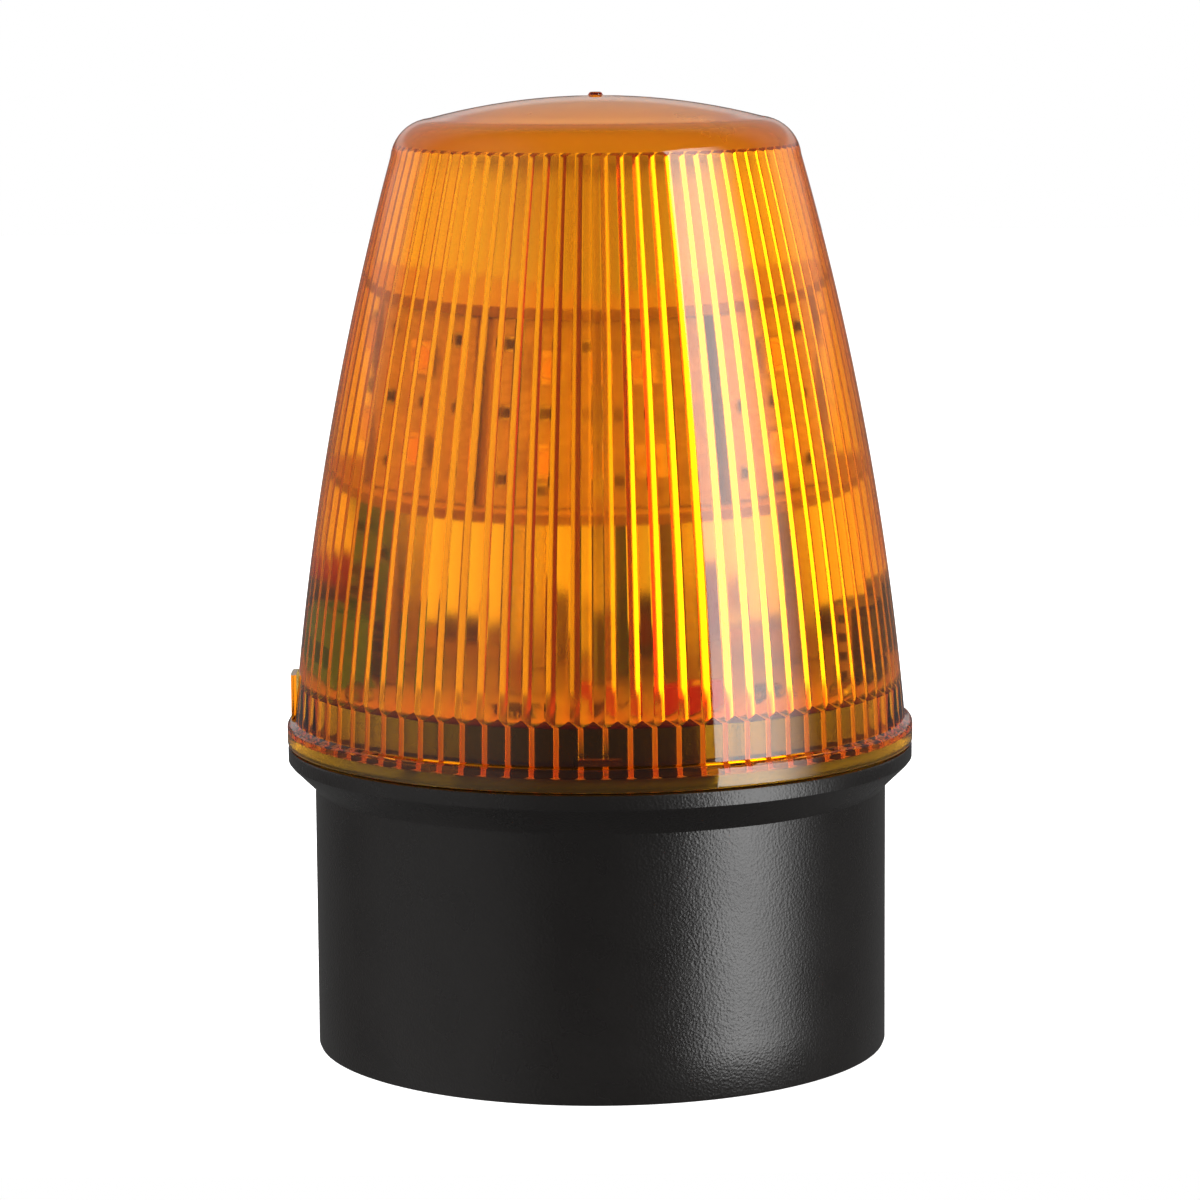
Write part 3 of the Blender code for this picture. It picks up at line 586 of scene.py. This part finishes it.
def buildBase(material):
    s = baseSizes
    cable, radius, flange, collar, inner = s["cableHole"], s["radius"], s["flange"], s["collar"], s["inner"]
    floor, flareFoot, flareTop, flangeTop, collarTop = (
        s[key] for key in ("floor", "flareFoot", "flareTop", "flangeTop", "collarTop"))
    outline = [(cable, floor), (cable, 0.4), (cable + 0.4, 0), (s["gasketInner"], 0),
               (s["gasketInner"], s["gasketGroove"]), (s["gasketOuter"], s["gasketGroove"]), (s["gasketOuter"], 0),
               (radius - 0.5, 0), (radius - 0.15, 0.15), (radius, 0.5)]
    outline += [(radius, z) for z in (8, 16, 24, 32, 38)]
    outline += [(radius, flareFoot - 0.4), (radius + 0.2, flareFoot), (flange - 0.4, flareTop - 0.3),
                (flange, flareTop + 0.2), (flange, flangeTop - 0.35), (flange - 0.12, flangeTop - 0.08),
                (flange - 0.4, flangeTop), (collar, flangeTop), (collar, collarTop - 0.4),
                (collar - 0.4, collarTop), (inner + 0.4, collarTop), (inner, collarTop - 0.4),
                (inner, floor), (cable, floor)]
    base = finishPiece(ringBody("base_shell", outline, 192), material, 25)
    top = s["bossTop"]
    for turn in s["bossTurns"]:
        x, y = s["bossCentre"] * cos(radians(turn)), s["bossCentre"] * sin(radians(turn))
        boss = solidRing("boss", [(s["boss"], floor - 1.0), (s["boss"], top - 0.4), (s["boss"] - 0.4, top)], 32)
        combine(base, shifted(boss, (x, y, 0)), "UNION")
        web = addBlock((*s["web"], top - floor - 5), (s["webCentre"], 0, (top + floor) / 2 - 3), turn)
        combine(base, web, "UNION")
        hole = solidRing("hole", [(s["bossHole"], s["bossHoleFoot"]), (s["bossHole"], top + 1)], 24)
        combine(base, shifted(hole, (x, y, 0)), "DIFFERENCE")
    for x, y in s["fixingPlaces"]:
        hole = solidRing("hole", [(s["fixing"], -1.0), (s["fixing"], floor + 1)], 32)
        combine(base, shifted(hole, (x, y, 0)), "DIFFERENCE")
    low, high = s["lockRun"]
    travel, half, outer = s["lockTravel"], s["lockHalf"], collar + 0.6
    for turn in s["lockTurns"]:  # the run that a lug slides in, and the entry at its far end
        run = wedge(s["lockInner"], outer, low, high, turn + travel / 2, travel / 2 + half)
        combine(base, run, "DIFFERENCE")
        entry = wedge(s["lockInner"], outer, low + 0.2, collarTop + 0.4, turn + travel, half - 0.05)
        combine(base, entry, "DIFFERENCE")
    onlyMaterial(base, material)
    handOver(base, "base", "base_housing")
    return base


sealSizes = {"ring": 45.9, "cord": 0.8, "height": 48.2}


def buildSeal(material):
    s = sealSizes
    deselectAll()
    bpy.ops.mesh.primitive_torus_add(major_radius=s["ring"] * mm, minor_radius=s["cord"] * mm, major_segments=160,
                                     minor_segments=16, location=(0, 0, s["height"] * mm))
    seal = finishPiece(bpy.context.object, material, 40)
    seal.name = "seal_ring"
    handOver(seal, "seal", "lens_seal")


grommetSizes = {
    "skin": 2.35, "skinEdge": 2.8,  # the thin blind middle that a cable is pushed through
    "outline": [(6.2, 1.45), (7.2, 0.75), (7.8, 0.62), (9.3, 0.62), (9.65, 0.9), (9.65, 3.35), (12.2, 3.35),
                (12.55, 3.6), (12.55, 4.7), (12.3, 4.88), (8.5, 5.15), (8.1, 4.95), (7.1, 3.1), (6.6, 2.45),
                (3.2, 2.35), (3.0, 2.2)],
}


def buildGrommet(material):
    s = grommetSizes
    outline = s["outline"] + [(s["skinEdge"], s["skin"])]
    grommet = finishPiece(solidRing("cable_bush", outline, 64), material, 40)
    edge = (s["skinEdge"] + 0.1) * mm
    fillHole(grommet, lambda place: abs(place.z - s["skin"] * mm) < 0.00001 and hypot(place.x, place.y) < edge)
    editStart(grommet)
    bpy.ops.mesh.select_all(action="SELECT")
    bpy.ops.mesh.normals_make_consistent(inside=False)
    bpy.ops.object.mode_set(mode="OBJECT")
    handOver(grommet, "base", "cable_grommet")


screwSizes = {  # each place is a distance from the axis, a turn about it and the height of the seat
    "board": {"places": [(36.8, turn, 56.7) for turn in (90, 210, 330)],
              "head": 2.8, "rise": 2.0, "length": 12.0, "shank": 1.1, "pitch": 0.6},
    "pillar": {"places": [(15.0, turn, 85.6) for turn in (30, 150, 270)],
               "head": 2.6, "rise": 1.8, "length": 7.0, "shank": 1.1, "pitch": 0.6},
}


def buildScrews(material):
    # pan heads with a cross recess over a grooved shank; one of each kind is made, and the others are copies
    for kind, s in screwSizes.items():
        head, rise, shank, length = s["head"], s["rise"], s["shank"], s["length"]
        outline = [(0.35, -length), (shank - 0.25, -length + 1.2)]
        for i in range(int((length - 2.4) / s["pitch"])):
            low = -length + 1.4 + s["pitch"] * i
            outline += [(shank - 0.2, low), (shank, low + 0.2), (shank, low + 0.3), (shank - 0.2, low + 0.5)]
        outline += [(shank - 0.1, -0.6), (shank, 0), (head - 0.12, 0), (head, 0.12), (head, 0.30 * rise),
                    (0.94 * head, 0.62 * rise), (0.78 * head, 0.86 * rise), (0.5 * head, 0.98 * rise),
                    (0.2 * head, rise)]
        screw = solidRing(kind + "_screw", outline, 40)
        fillHole(screw, lambda place: place.z > (rise - 0.001) * mm)
        for turn in (0, 90):
            bar = addBlock((1.05 * head, 0.32 * head, rise), (0, 0, rise * 1.05), turn)
            combine(screw, bar, "DIFFERENCE")
        finishPiece(screw, material, 32)
        for number, (radius, turn, seat) in enumerate(s["places"], 1):
            place = (radius * cos(radians(turn)), radius * sin(radians(turn)), seat)
            made = copyTo(screw, f"{kind}_screw_{number}_made", place, turn * 1.7 + 20)
            handOver(made, "base", f"{kind}_screw_{number}")
        bpy.data.objects.remove(screw)


ledSizes = {
    "rows": {"lower": 7.0, "upper": 21.0}, "foot": 85.6, "back": 21.3, "body": (5.0, 1.6, 5.0),
    "cup": 2.05, "cupDepth": 0.9, "tab": (0.5, 0.5, 0.9), "tabHeights": (-1.5, 0, 1.5),
}


def buildLeds(cupPlastic, phosphor, tin):
    # a white moulded package with a round cup, its fill, and solder tabs down its two sides
    s = ledSizes
    wide, deep, tall = s["body"]
    front, floor = deep / 2, deep / 2 - s["cupDepth"]
    led = bevelled(addBlock((wide - 0.6, deep - 0.05, tall), (0, 0, 0)), 0.22, 2)
    cup = solidRing("cup", [(s["cup"] - 0.35, floor), (s["cup"] + 0.05, front + 0.1)], 40)
    combine(led, laidOver(cup), "DIFFERENCE")
    finishPiece(led, cupPlastic, 40)
    fill = solidRing("fill", [(s["cup"] - 0.33, floor - 0.01), (s["cup"] - 0.20, front - 0.28),
                              (s["cup"] * 0.6, front - 0.24), (s["cup"] * 0.25, front - 0.22)], 40)
    finishPiece(laidOver(fill), phosphor, 40)
    tabs = []
    for side in (-1, 1):
        for height in s["tabHeights"]:
            tab = addBlock(s["tab"], (side * (wide / 2 - 0.25), front - 0.3, height))
            tabs.append(finishPiece(bevelled(tab, 0.08, 1), tin, 40))
    led = joined("ledModel", [led, fill] + tabs)
    for number in range(6):
        turn = -90 + 60 * number
        for row, height in s["rows"].items():
            out = s["back"] + front
            place = (out * cos(radians(turn)), out * sin(radians(turn)), s["foot"] + height)
            made = copyTo(led, f"led_{number + 1}_{row}_made", place, turn + 90)
            handOver(made, "base", f"led_{number + 1}_{row}")
    bpy.data.objects.remove(led)


standing = 56.7  # the height that the tall parts stand at, just clear of the main board
capacitorSizes = {
    "capacitor_1": {"centre": (31.0, -6.0), "radius": 5.8, "height": 11.5},
    "capacitor_2": {"centre": (27.0, 14.5), "radius": 4.8, "height": 10.5},
}


def buildCapacitors(aluminium):
    # the sleeve is rolled in over an aluminium top scored with three lines
    for name, s in capacitorSizes.items():
        radius, top, foot = s["radius"], standing + s["height"], standing
        outline = [(radius - 0.5, foot), (radius, foot + 0.3), (radius, foot + 2.0), (radius - 0.15, foot + 2.3),
                   (radius - 0.55, foot + 2.8), (radius - 0.15, foot + 3.3), (radius, foot + 3.6),
                   (radius, top - 0.9), (radius - 0.2, top - 0.35), (radius - 0.6, top - 0.05), (radius - 1.1, top),
                   (radius - 1.25, top - 0.1), (radius - 1.3, top - 0.25), (radius - 1.5, top - 0.28)]
        sleeve = shrunkSleeve(name + "ShrunkPvcSleeve", s["centre"])
        can = finishPiece(solidRing(name + "_can", outline, 56), sleeve, 35)
        fillHole(can, lambda place: place.z > (top - 0.3) * mm and hypot(place.x, place.y) < (radius - 1.4) * mm)
        for turn in (0, 60, 120):
            combine(can, addBlock((2 * radius - 4.0, 0.22, 0.3), (0, 0, top - 0.28), turn), "DIFFERENCE")
        finishPiece(can, sleeve, 35)
        paintFaces(can, aluminium, lambda place: place.z > (top - 0.6) * mm
                   and hypot(place.x, place.y) < (radius - 1.28) * mm)
        shifted(can, (*s["centre"], 0))
        handOver(can, "base", name)


chokeSizes = {"centre": (-25.5, 19.5), "radius": 6.0, "height": 9.0, "flange": 1.5, "turns": 9, "wirePitch": 0.66}


def buildChoke(ferrite, enamel):
    # a ferrite spool wound with enamelled wire
    s = chokeSizes
    radius, foot, top, flange = s["radius"], standing, standing + s["height"], s["flange"]
    outline = [(radius - 0.3, foot), (radius, foot + 0.3), (radius, foot + flange - 0.3),
               (radius - 0.3, foot + flange), (radius - 1.5, foot + flange)]
    for i in range(s["turns"]):
        middle = foot + flange + 0.05 + s["wirePitch"] * (i + 0.5)
        outline += [(radius - 1.3 + 0.32 * sin(radians(turn)), middle - 0.33 * cos(radians(turn)))
                    for turn in (20, 60, 100, 140, 175)]
    outline += [(radius - 1.5, top - flange), (radius - 0.3, top - flange), (radius, top - flange + 0.3),
                (radius, top - 0.3), (radius - 0.3, top), (1.4, top), (1.2, top - 0.8)]
    choke = finishPiece(solidRing("choke_spool", outline, 64), ferrite, 35)
    fillHole(choke, lambda place: abs(place.z - (top - 0.8) * mm) < 0.00002 and hypot(place.x, place.y) < 1.3 * mm)
    finishPiece(choke, ferrite, 35)
    low, high = foot + flange + 0.02, top - flange - 0.02
    paintFaces(choke, enamel, lambda place: low * mm < place.z < high * mm)
    shifted(choke, (*s["centre"], 0))
    handOver(choke, "base", "choke")


varistorSizes = {"centre": (-12.0, 27.0), "turn": 20.0, "radius": 6.6, "half": 2.05, "legPlace": (3.6, 0.5)}


def buildVaristor(coating, tin):
    # a dipped disc with runs of coating down its two legs
    s = varistorSizes
    radius, half = s["radius"], s["half"]
    outline = [(radius * 0.35, -half), (radius * 0.8, -1.95), (radius * 0.93, -1.5), (radius - 0.05, -0.7),
               (radius, 0), (radius - 0.05, 0.7), (radius * 0.93, 1.5), (radius * 0.8, 1.95), (radius * 0.35, half)]
    disc = solidRing("varistor_disc", outline, 48)
    fillHole(disc, lambda place: place.z > (half - 0.01) * mm)
    finishPiece(laidOver(disc), coating, 40)
    shifted(disc, (0, 0, standing + radius))
    pieces = [disc]
    for side in (-1, 1):
        leg = solidRing("leg", [(0.35, standing - 0.15), (0.35, standing + 0.9), (0.62, standing + 1.2),
                                (0.8, standing + 2.2)], 16)
        x, y = s["legPlace"]
        pieces.append(finishPiece(shifted(leg, (side * x, side * y, 0)), tin, 40))
    varistor = joined("varistor_disc", pieces)
    shifted(varistor, (*s["centre"], 0), s["turn"])
    handOver(varistor, "base", "varistor")


chipSizes = {"core": (1.5, 1.2, 0.5), "end": (0.42, 1.26, 0.58), "endPlace": 0.95}


def chipModel(body, tin):
    # a chip resistor lying on its back face: a dark body between two tinned ends
    s = chipSizes
    core = finishPiece(bevelled(addBlock(s["core"], (0, 0, 0.27)), 0.05, 1), body, 40)
    ends = [finishPiece(bevelled(addBlock(s["end"], (side * s["endPlace"], 0, 0.29)), 0.06, 1), tin, 40)
            for side in (-1, 1)]
    return joined("chipModel", [core] + ends)


packageSizes = {"core": (4.9, 3.9, 1.4), "legs": 4, "legPitch": 1.27, "legWide": 0.42}


def packageModel(body, tin):
    # an eight-legged package with sloping sides, a dimple at its first leg and bent legs
    s = packageSizes
    core = addBlock(s["core"], (0, 0, 0.85))
    editStart(core)
    pick(core, lambda place: place.z > 1.5 * mm)
    bpy.ops.transform.resize(value=(0.93, 0.91, 1), center_override=(0, 0, 0))
    bpy.ops.object.mode_set(mode="OBJECT")
    bevelled(core, 0.1, 1)
    dimple = solidRing("dimple", [(0.3, 1.45), (0.35, 1.7)], 20)
    combine(core, shifted(dimple, (-1.7, -1.1, 0)), "DIFFERENCE")
    pieces = [finishPiece(core, body, 40)]
    for side in (-1, 1):
        for i in range(s["legs"]):
            x, wide = s["legPitch"] * (i - (s["legs"] - 1) / 2), s["legWide"]
            leg = addBlock((wide, 0.7, 0.2), (x, side * 2.2, 0.85))
            combine(leg, addBlock((wide, 0.2, 0.85), (x, side * 2.45, 0.5)), "UNION")
            combine(leg, addBlock((wide, 0.7, 0.2), (x, side * 2.75, 0.12)), "UNION")
            pieces.append(finishPiece(leg, tin, 40))
    return joined("packageModel", pieces)


boardPartPlaces = {
    "mainFace": 56.45,  # x, y and turn of each
    "mainChips": ((-10, -27, 0), (-6.5, -27, 0), (-3, -27, 90), (-14, -22, 90), (18, -24, 40), (22, -20, 40),
                  (0, -9.5, 0), (4.5, -8, 90), (-6, 6, 90), (8, 7, 0), (17, 24, 0), (-4, 18, 90), (14, -13, 0),
                  (-9, 11, 45)),
    "mainPackages": ((-9, -33, 8), (17, -19, 40)),
    "driverFace": -22.02,  # y and z of each
    "driverChips": ((-5, 61.5), (-5, 64.5), (5, 61.0), (5.5, 78), (1, 79), (-6, 76), (-2, 61), (6, 68), (6, 71)),
    "driverPackage": (1.0, 70.0),
    "lightFace": 21.02, "lightFoot": 85.7,  # across and up on each of the six light boards
    "lightChips": ((-7.2, 4.0), (7.2, 4.0), (-7.2, 14.0), (7.2, 14.0), (0, 14.0), (-7.2, 24.2), (7.2, 24.2),
                   (0, 2.4)),
}


def buildBoardParts(body, tin):
    chip, package = chipModel(body, tin), packageModel(body, tin)
    s = boardPartPlaces
    onMain = [copyTo(chip, "chip", (x, y, s["mainFace"]), turn) for x, y, turn in s["mainChips"]]
    onMain += [copyTo(package, "package", (x, y, s["mainFace"]), turn) for x, y, turn in s["mainPackages"]]
    for model in (chip, package):
        laidOver(model, "Y")  # stood up for an upright board, its back on the plane x = 0
    onDriver = [copyTo(chip, "chip", (s["driverFace"], y, z), 180) for y, z in s["driverChips"]]
    onDriver.append(copyTo(package, "package", (s["driverFace"], *s["driverPackage"]), 180))
    onLights = []
    for number in range(6):
        turn = radians(-90 + 60 * number)
        for across, up in s["lightChips"]:
            x = s["lightFace"] * cos(turn) - across * sin(turn)
            y = s["lightFace"] * sin(turn) + across * cos(turn)
            onLights.append(copyTo(chip, "chip", (x, y, s["lightFoot"] + up), degrees(turn)))
    groups = {"main_board_parts": onMain, "driver_board_parts": onDriver, "led_board_parts": onLights}
    for name, pieces in groups.items():
        handOver(joined(name, pieces), "base")
    for model in (chip, package):
        bpy.data.objects.remove(model)


lampSizes = {
    "keyRight": {"size": (0.75, 1.15), "place": (0.81, -0.39, 0.25), "aim": 0.25, "power": 15},
    "stripLeft": {"size": (0.25, 1.2), "place": (-0.79, -0.43, 0.25), "aim": 0.25, "power": 0.94},
    "fillLeft": {"size": (0.8, 0.8), "place": (-0.90, -0.36, 0.45), "aim": 0.08, "power": 12},
    "fillTop": {"size": (0.8, 0.8), "place": (0.1, -0.1, 1.1), "aim": 0.08, "power": 8},
}


def softbox(name):  # a lamp that isn't seen itself
    s = lampSizes[name]
    light = bpy.data.lights.new(name, "AREA")
    light.shape = "RECTANGLE"
    light.size, light.size_y = s["size"]
    light.energy = s["power"]
    lamp = bpy.data.objects.new(name, light)
    lamp.location = s["place"]
    lamp.rotation_euler = (Vector((0, 0, s["aim"])) - Vector(s["place"])).to_track_quat("-Z", "Y").to_euler()
    lamp.visible_camera = False
    bpy.context.scene.collection.objects.link(lamp)
    return lamp


def buildLamps():
    key = softbox("keyRight")
    key.data.use_nodes = True
    tree = key.data.node_tree
    across = addNode(tree, "ShaderNodeNewGeometry").outputs["Parametric"]
    parts = addNode(tree, "ShaderNodeSeparateXYZ", Vector=across).outputs
    fade = addNode(tree, "ShaderNodeMapRange", smooth, Value=parts["X"], From_Min=1.0, From_Max=0.35)  # a soft edge
    tree.links.new(fade.outputs[0], tree.nodes["Emission"].inputs["Strength"])
    softbox("stripLeft").visible_glossy = False
    for name in ("fillLeft", "fillTop"):
        fill = softbox(name)
        fill.visible_glossy = False
        fill.visible_transmission = False


floorLook = {"code": "#F2F2F0", "middle": (0, 1.12, 0), "size": (1.9, 2.4, 1), "glow": (0.56, 0.95)}


def buildFloor():
    # matt painted board, pale and even; a glow of its own lifts it to the white of the surround
    s = floorLook
    deselectAll()
    bpy.ops.mesh.primitive_plane_add(size=1.0, location=s["middle"])
    bpy.ops.transform.resize(value=s["size"], center_override=s["middle"])
    floor = bpy.context.object
    floor.name = "floor"
    material, tree, shader, place = newMaterial("mattPaintedBoard")
    rays = addNode(tree, "ShaderNodeLightPath")
    shader.inputs["Base Color"].default_value = hexColour(s["code"])
    shader.inputs["Roughness"].default_value = 0.9
    shader.inputs["Emission Color"].default_value = hexColour("#FFFFFF")
    lift = addNode(tree, "ShaderNodeMapRange", Value=rays.outputs["Is Camera Ray"],
                   To_Min=s["glow"][0], To_Max=s["glow"][1])
    tree.links.new(lift.outputs["Result"], shader.inputs["Emission Strength"])
    floor.data.materials.append(material)
    floor.visible_glossy = False
    floor.visible_shadow = False


surroundLook = {"dim": 0.12, "rearHigh": 0.28, "rearBand": 0.35, "left": 0.2}


def buildSurround():
    # white where it is seen; it lights the light from behind, most in a low band, and a little from the left
    s = surroundLook
    world = bpy.data.worlds.new("studio")
    bpy.context.scene.world = world
    world.use_nodes = True
    tree = world.node_tree
    way = addNode(tree, "ShaderNodeTexCoord").outputs["Generated"]
    parts = addNode(tree, "ShaderNodeSeparateXYZ", Vector=way).outputs
    ramps = {
        "rear": ("Y", 0.2, 0.6, 1.0), "high": ("Z", 0.05, 0.26, s["rearHigh"]),
        "left": ("X", -0.25, -0.7, s["left"]), "ahead": ("Y", 0.5, -0.1, 1.0),
        "bandUp": ("Z", 0.05, 0.12, s["rearBand"]), "bandDown": ("Z", 0.27, 0.18, 1.0),
    }
    level = {}
    for name, (axis, start, end, most) in ramps.items():
        level[name] = addNode(tree, "ShaderNodeMapRange", smooth, Value=parts[axis],
                              From_Min=start, From_Max=end, To_Max=most).outputs[0]
    band = addNode(tree, "ShaderNodeMath", {"operation": "MULTIPLY_ADD"},
                   i0=level["bandUp"], i1=level["bandDown"], i2=level["high"])
    beside = addNode(tree, "ShaderNodeMath", {"operation": "MULTIPLY_ADD"},
                     i0=level["ahead"], i1=level["left"], i2=s["dim"])
    total = addNode(tree, "ShaderNodeMath", {"operation": "MULTIPLY_ADD"},
                    i0=level["rear"], i1=band.outputs[0], i2=beside.outputs[0])
    white = hexColour("#FFFFFF")
    rays = addNode(tree, "ShaderNodeLightPath")
    seen = addNode(tree, "ShaderNodeBackground", Color=white, Strength=1.0)
    around = addNode(tree, "ShaderNodeBackground", Color=white, Strength=total.outputs[0])
    both = addNode(tree, "ShaderNodeMixShader", Fac=rays.outputs["Is Camera Ray"],
                   i1=around.outputs[0], i2=seen.outputs[0])
    tree.links.new(both.outputs[0], tree.nodes["World Output"].inputs["Surface"])


cameraSizes = {"lens": 129.9, "place": (0.00014, -0.663, 0.1615), "down": 7.95, "roll": -0.0072}


def buildCamera():
    s = cameraSizes
    data = bpy.data.cameras.new("camera")
    data.sensor_width = 36.0
    data.lens = s["lens"]
    camera = bpy.data.objects.new("camera", data)
    camera.location = s["place"]
    look = Matrix.Rotation(radians(90 - s["down"]), 3, "X") @ Matrix.Rotation(s["roll"], 3, "Z")
    camera.rotation_euler = look.to_euler()
    bpy.context.scene.collection.objects.link(camera)
    bpy.context.scene.camera = camera


buildCamera()
buildFloor()
buildSurround()
buildLamps()
print("camera and studio done")

amber = polishedPolycarbonate("polishedAmberPolycarbonate", amberLook)
black = sparkErodedAbs("sparkErodedBlackAbs", "#0E0C0B", "#141211")
tin = plated("tinnedCopper", "#C9C7C0", 0.32)  # pale grey with a dull shine
rubber = moulded("mouldedBlackRubber", "#171615", 0.62, grain=0.25, depth=0.03)  # matt, soft black
epoxy = moulded("mouldedBlackEpoxy", "#1B1B1A", 0.5, grain=0.12)  # a fine satin black
zinc = plated("zincPlatedSteel", "#BFC0BD", 0.30)  # cool and bright
looks = {
    "black_rubber": rubber,
    "green_board": solderMasked("solderMaskedGreenBoard", "#0E5A30", "#17723E", True),
    "white_board": solderMasked("solderMaskedWhiteBoard", "#DAD7CB", "#C8C5B7", False),
    "zinc_plated_steel": zinc,
    "nickel_plated_brass": plated("nickelPlatedBrass", "#C9C1A8", 0.25),  # slightly warm
    "green_polyamide": moulded("mouldedGreenPolyamide", "#3F9656", 0.42),  # satin mid green
    "red_switch_plastic": moulded("mouldedRedPolyester", "#A3211F", 0.40),  # satin red
    "white_switch_plastic": moulded("mouldedWhitePolyester", "#ECEBE4", 0.40, shift=0.04),  # satin white
    "black_epoxy": epoxy,
}
lightBoard = solderMasked("solderMaskedLightBoard", "#CBC7BA", "#BBB7A9", True)  # warmer and duller white
print("shared materials done")

lens = buildLens(amber)
print("lens done:", len(lens.data.vertices), "vertices")
base = buildBase(black)
print("base done:", len(base.data.vertices), "vertices")
buildSeal(rubber)
buildGrommet(rubber)
print("seal and grommet done")
buildScrews(zinc)
print("screws done")
cupPlastic = moulded("mouldedWhitePolyamide", "#F1EFE6", 0.35, shift=0.03)  # clean white with a soft shine
buildLeds(cupPlastic, curedSilicone("curedPhosphorSilicone", "#D9B93A", "#F0DC7C"), tin)
print("diodes done")
buildCapacitors(plated("pressedAluminium", "#C8C9CA", 0.35))  # pale grey with a satin shine
ferrite = moulded("groundFerrite", "#262523", 0.55, grain=0.2, depth=0.04)  # dull grey-black and slightly rough
buildChoke(ferrite, plated("enamelledCopper", "#B4602C", 0.28))  # orange-brown, with a bright line on each turn
buildVaristor(moulded("dippedRedEpoxy", "#8E1B22", 0.28, grain=1.4, depth=0.06), tin)  # glossy and a little uneven
print("tall board parts done")
buildBoardParts(epoxy, tin)
print("small board parts done")
for part in frame["record"]["subparts"]:
    if part["material_slot"] in looks:
        node = nodes[part["node"]]
        onlyMaterial(node, lightBoard if node.name.startswith("led_board") else looks[part["material_slot"]])
print("carried nodes coloured")

scene = bpy.context.scene
scene.view_settings.view_transform = "Standard"

deselectAll()
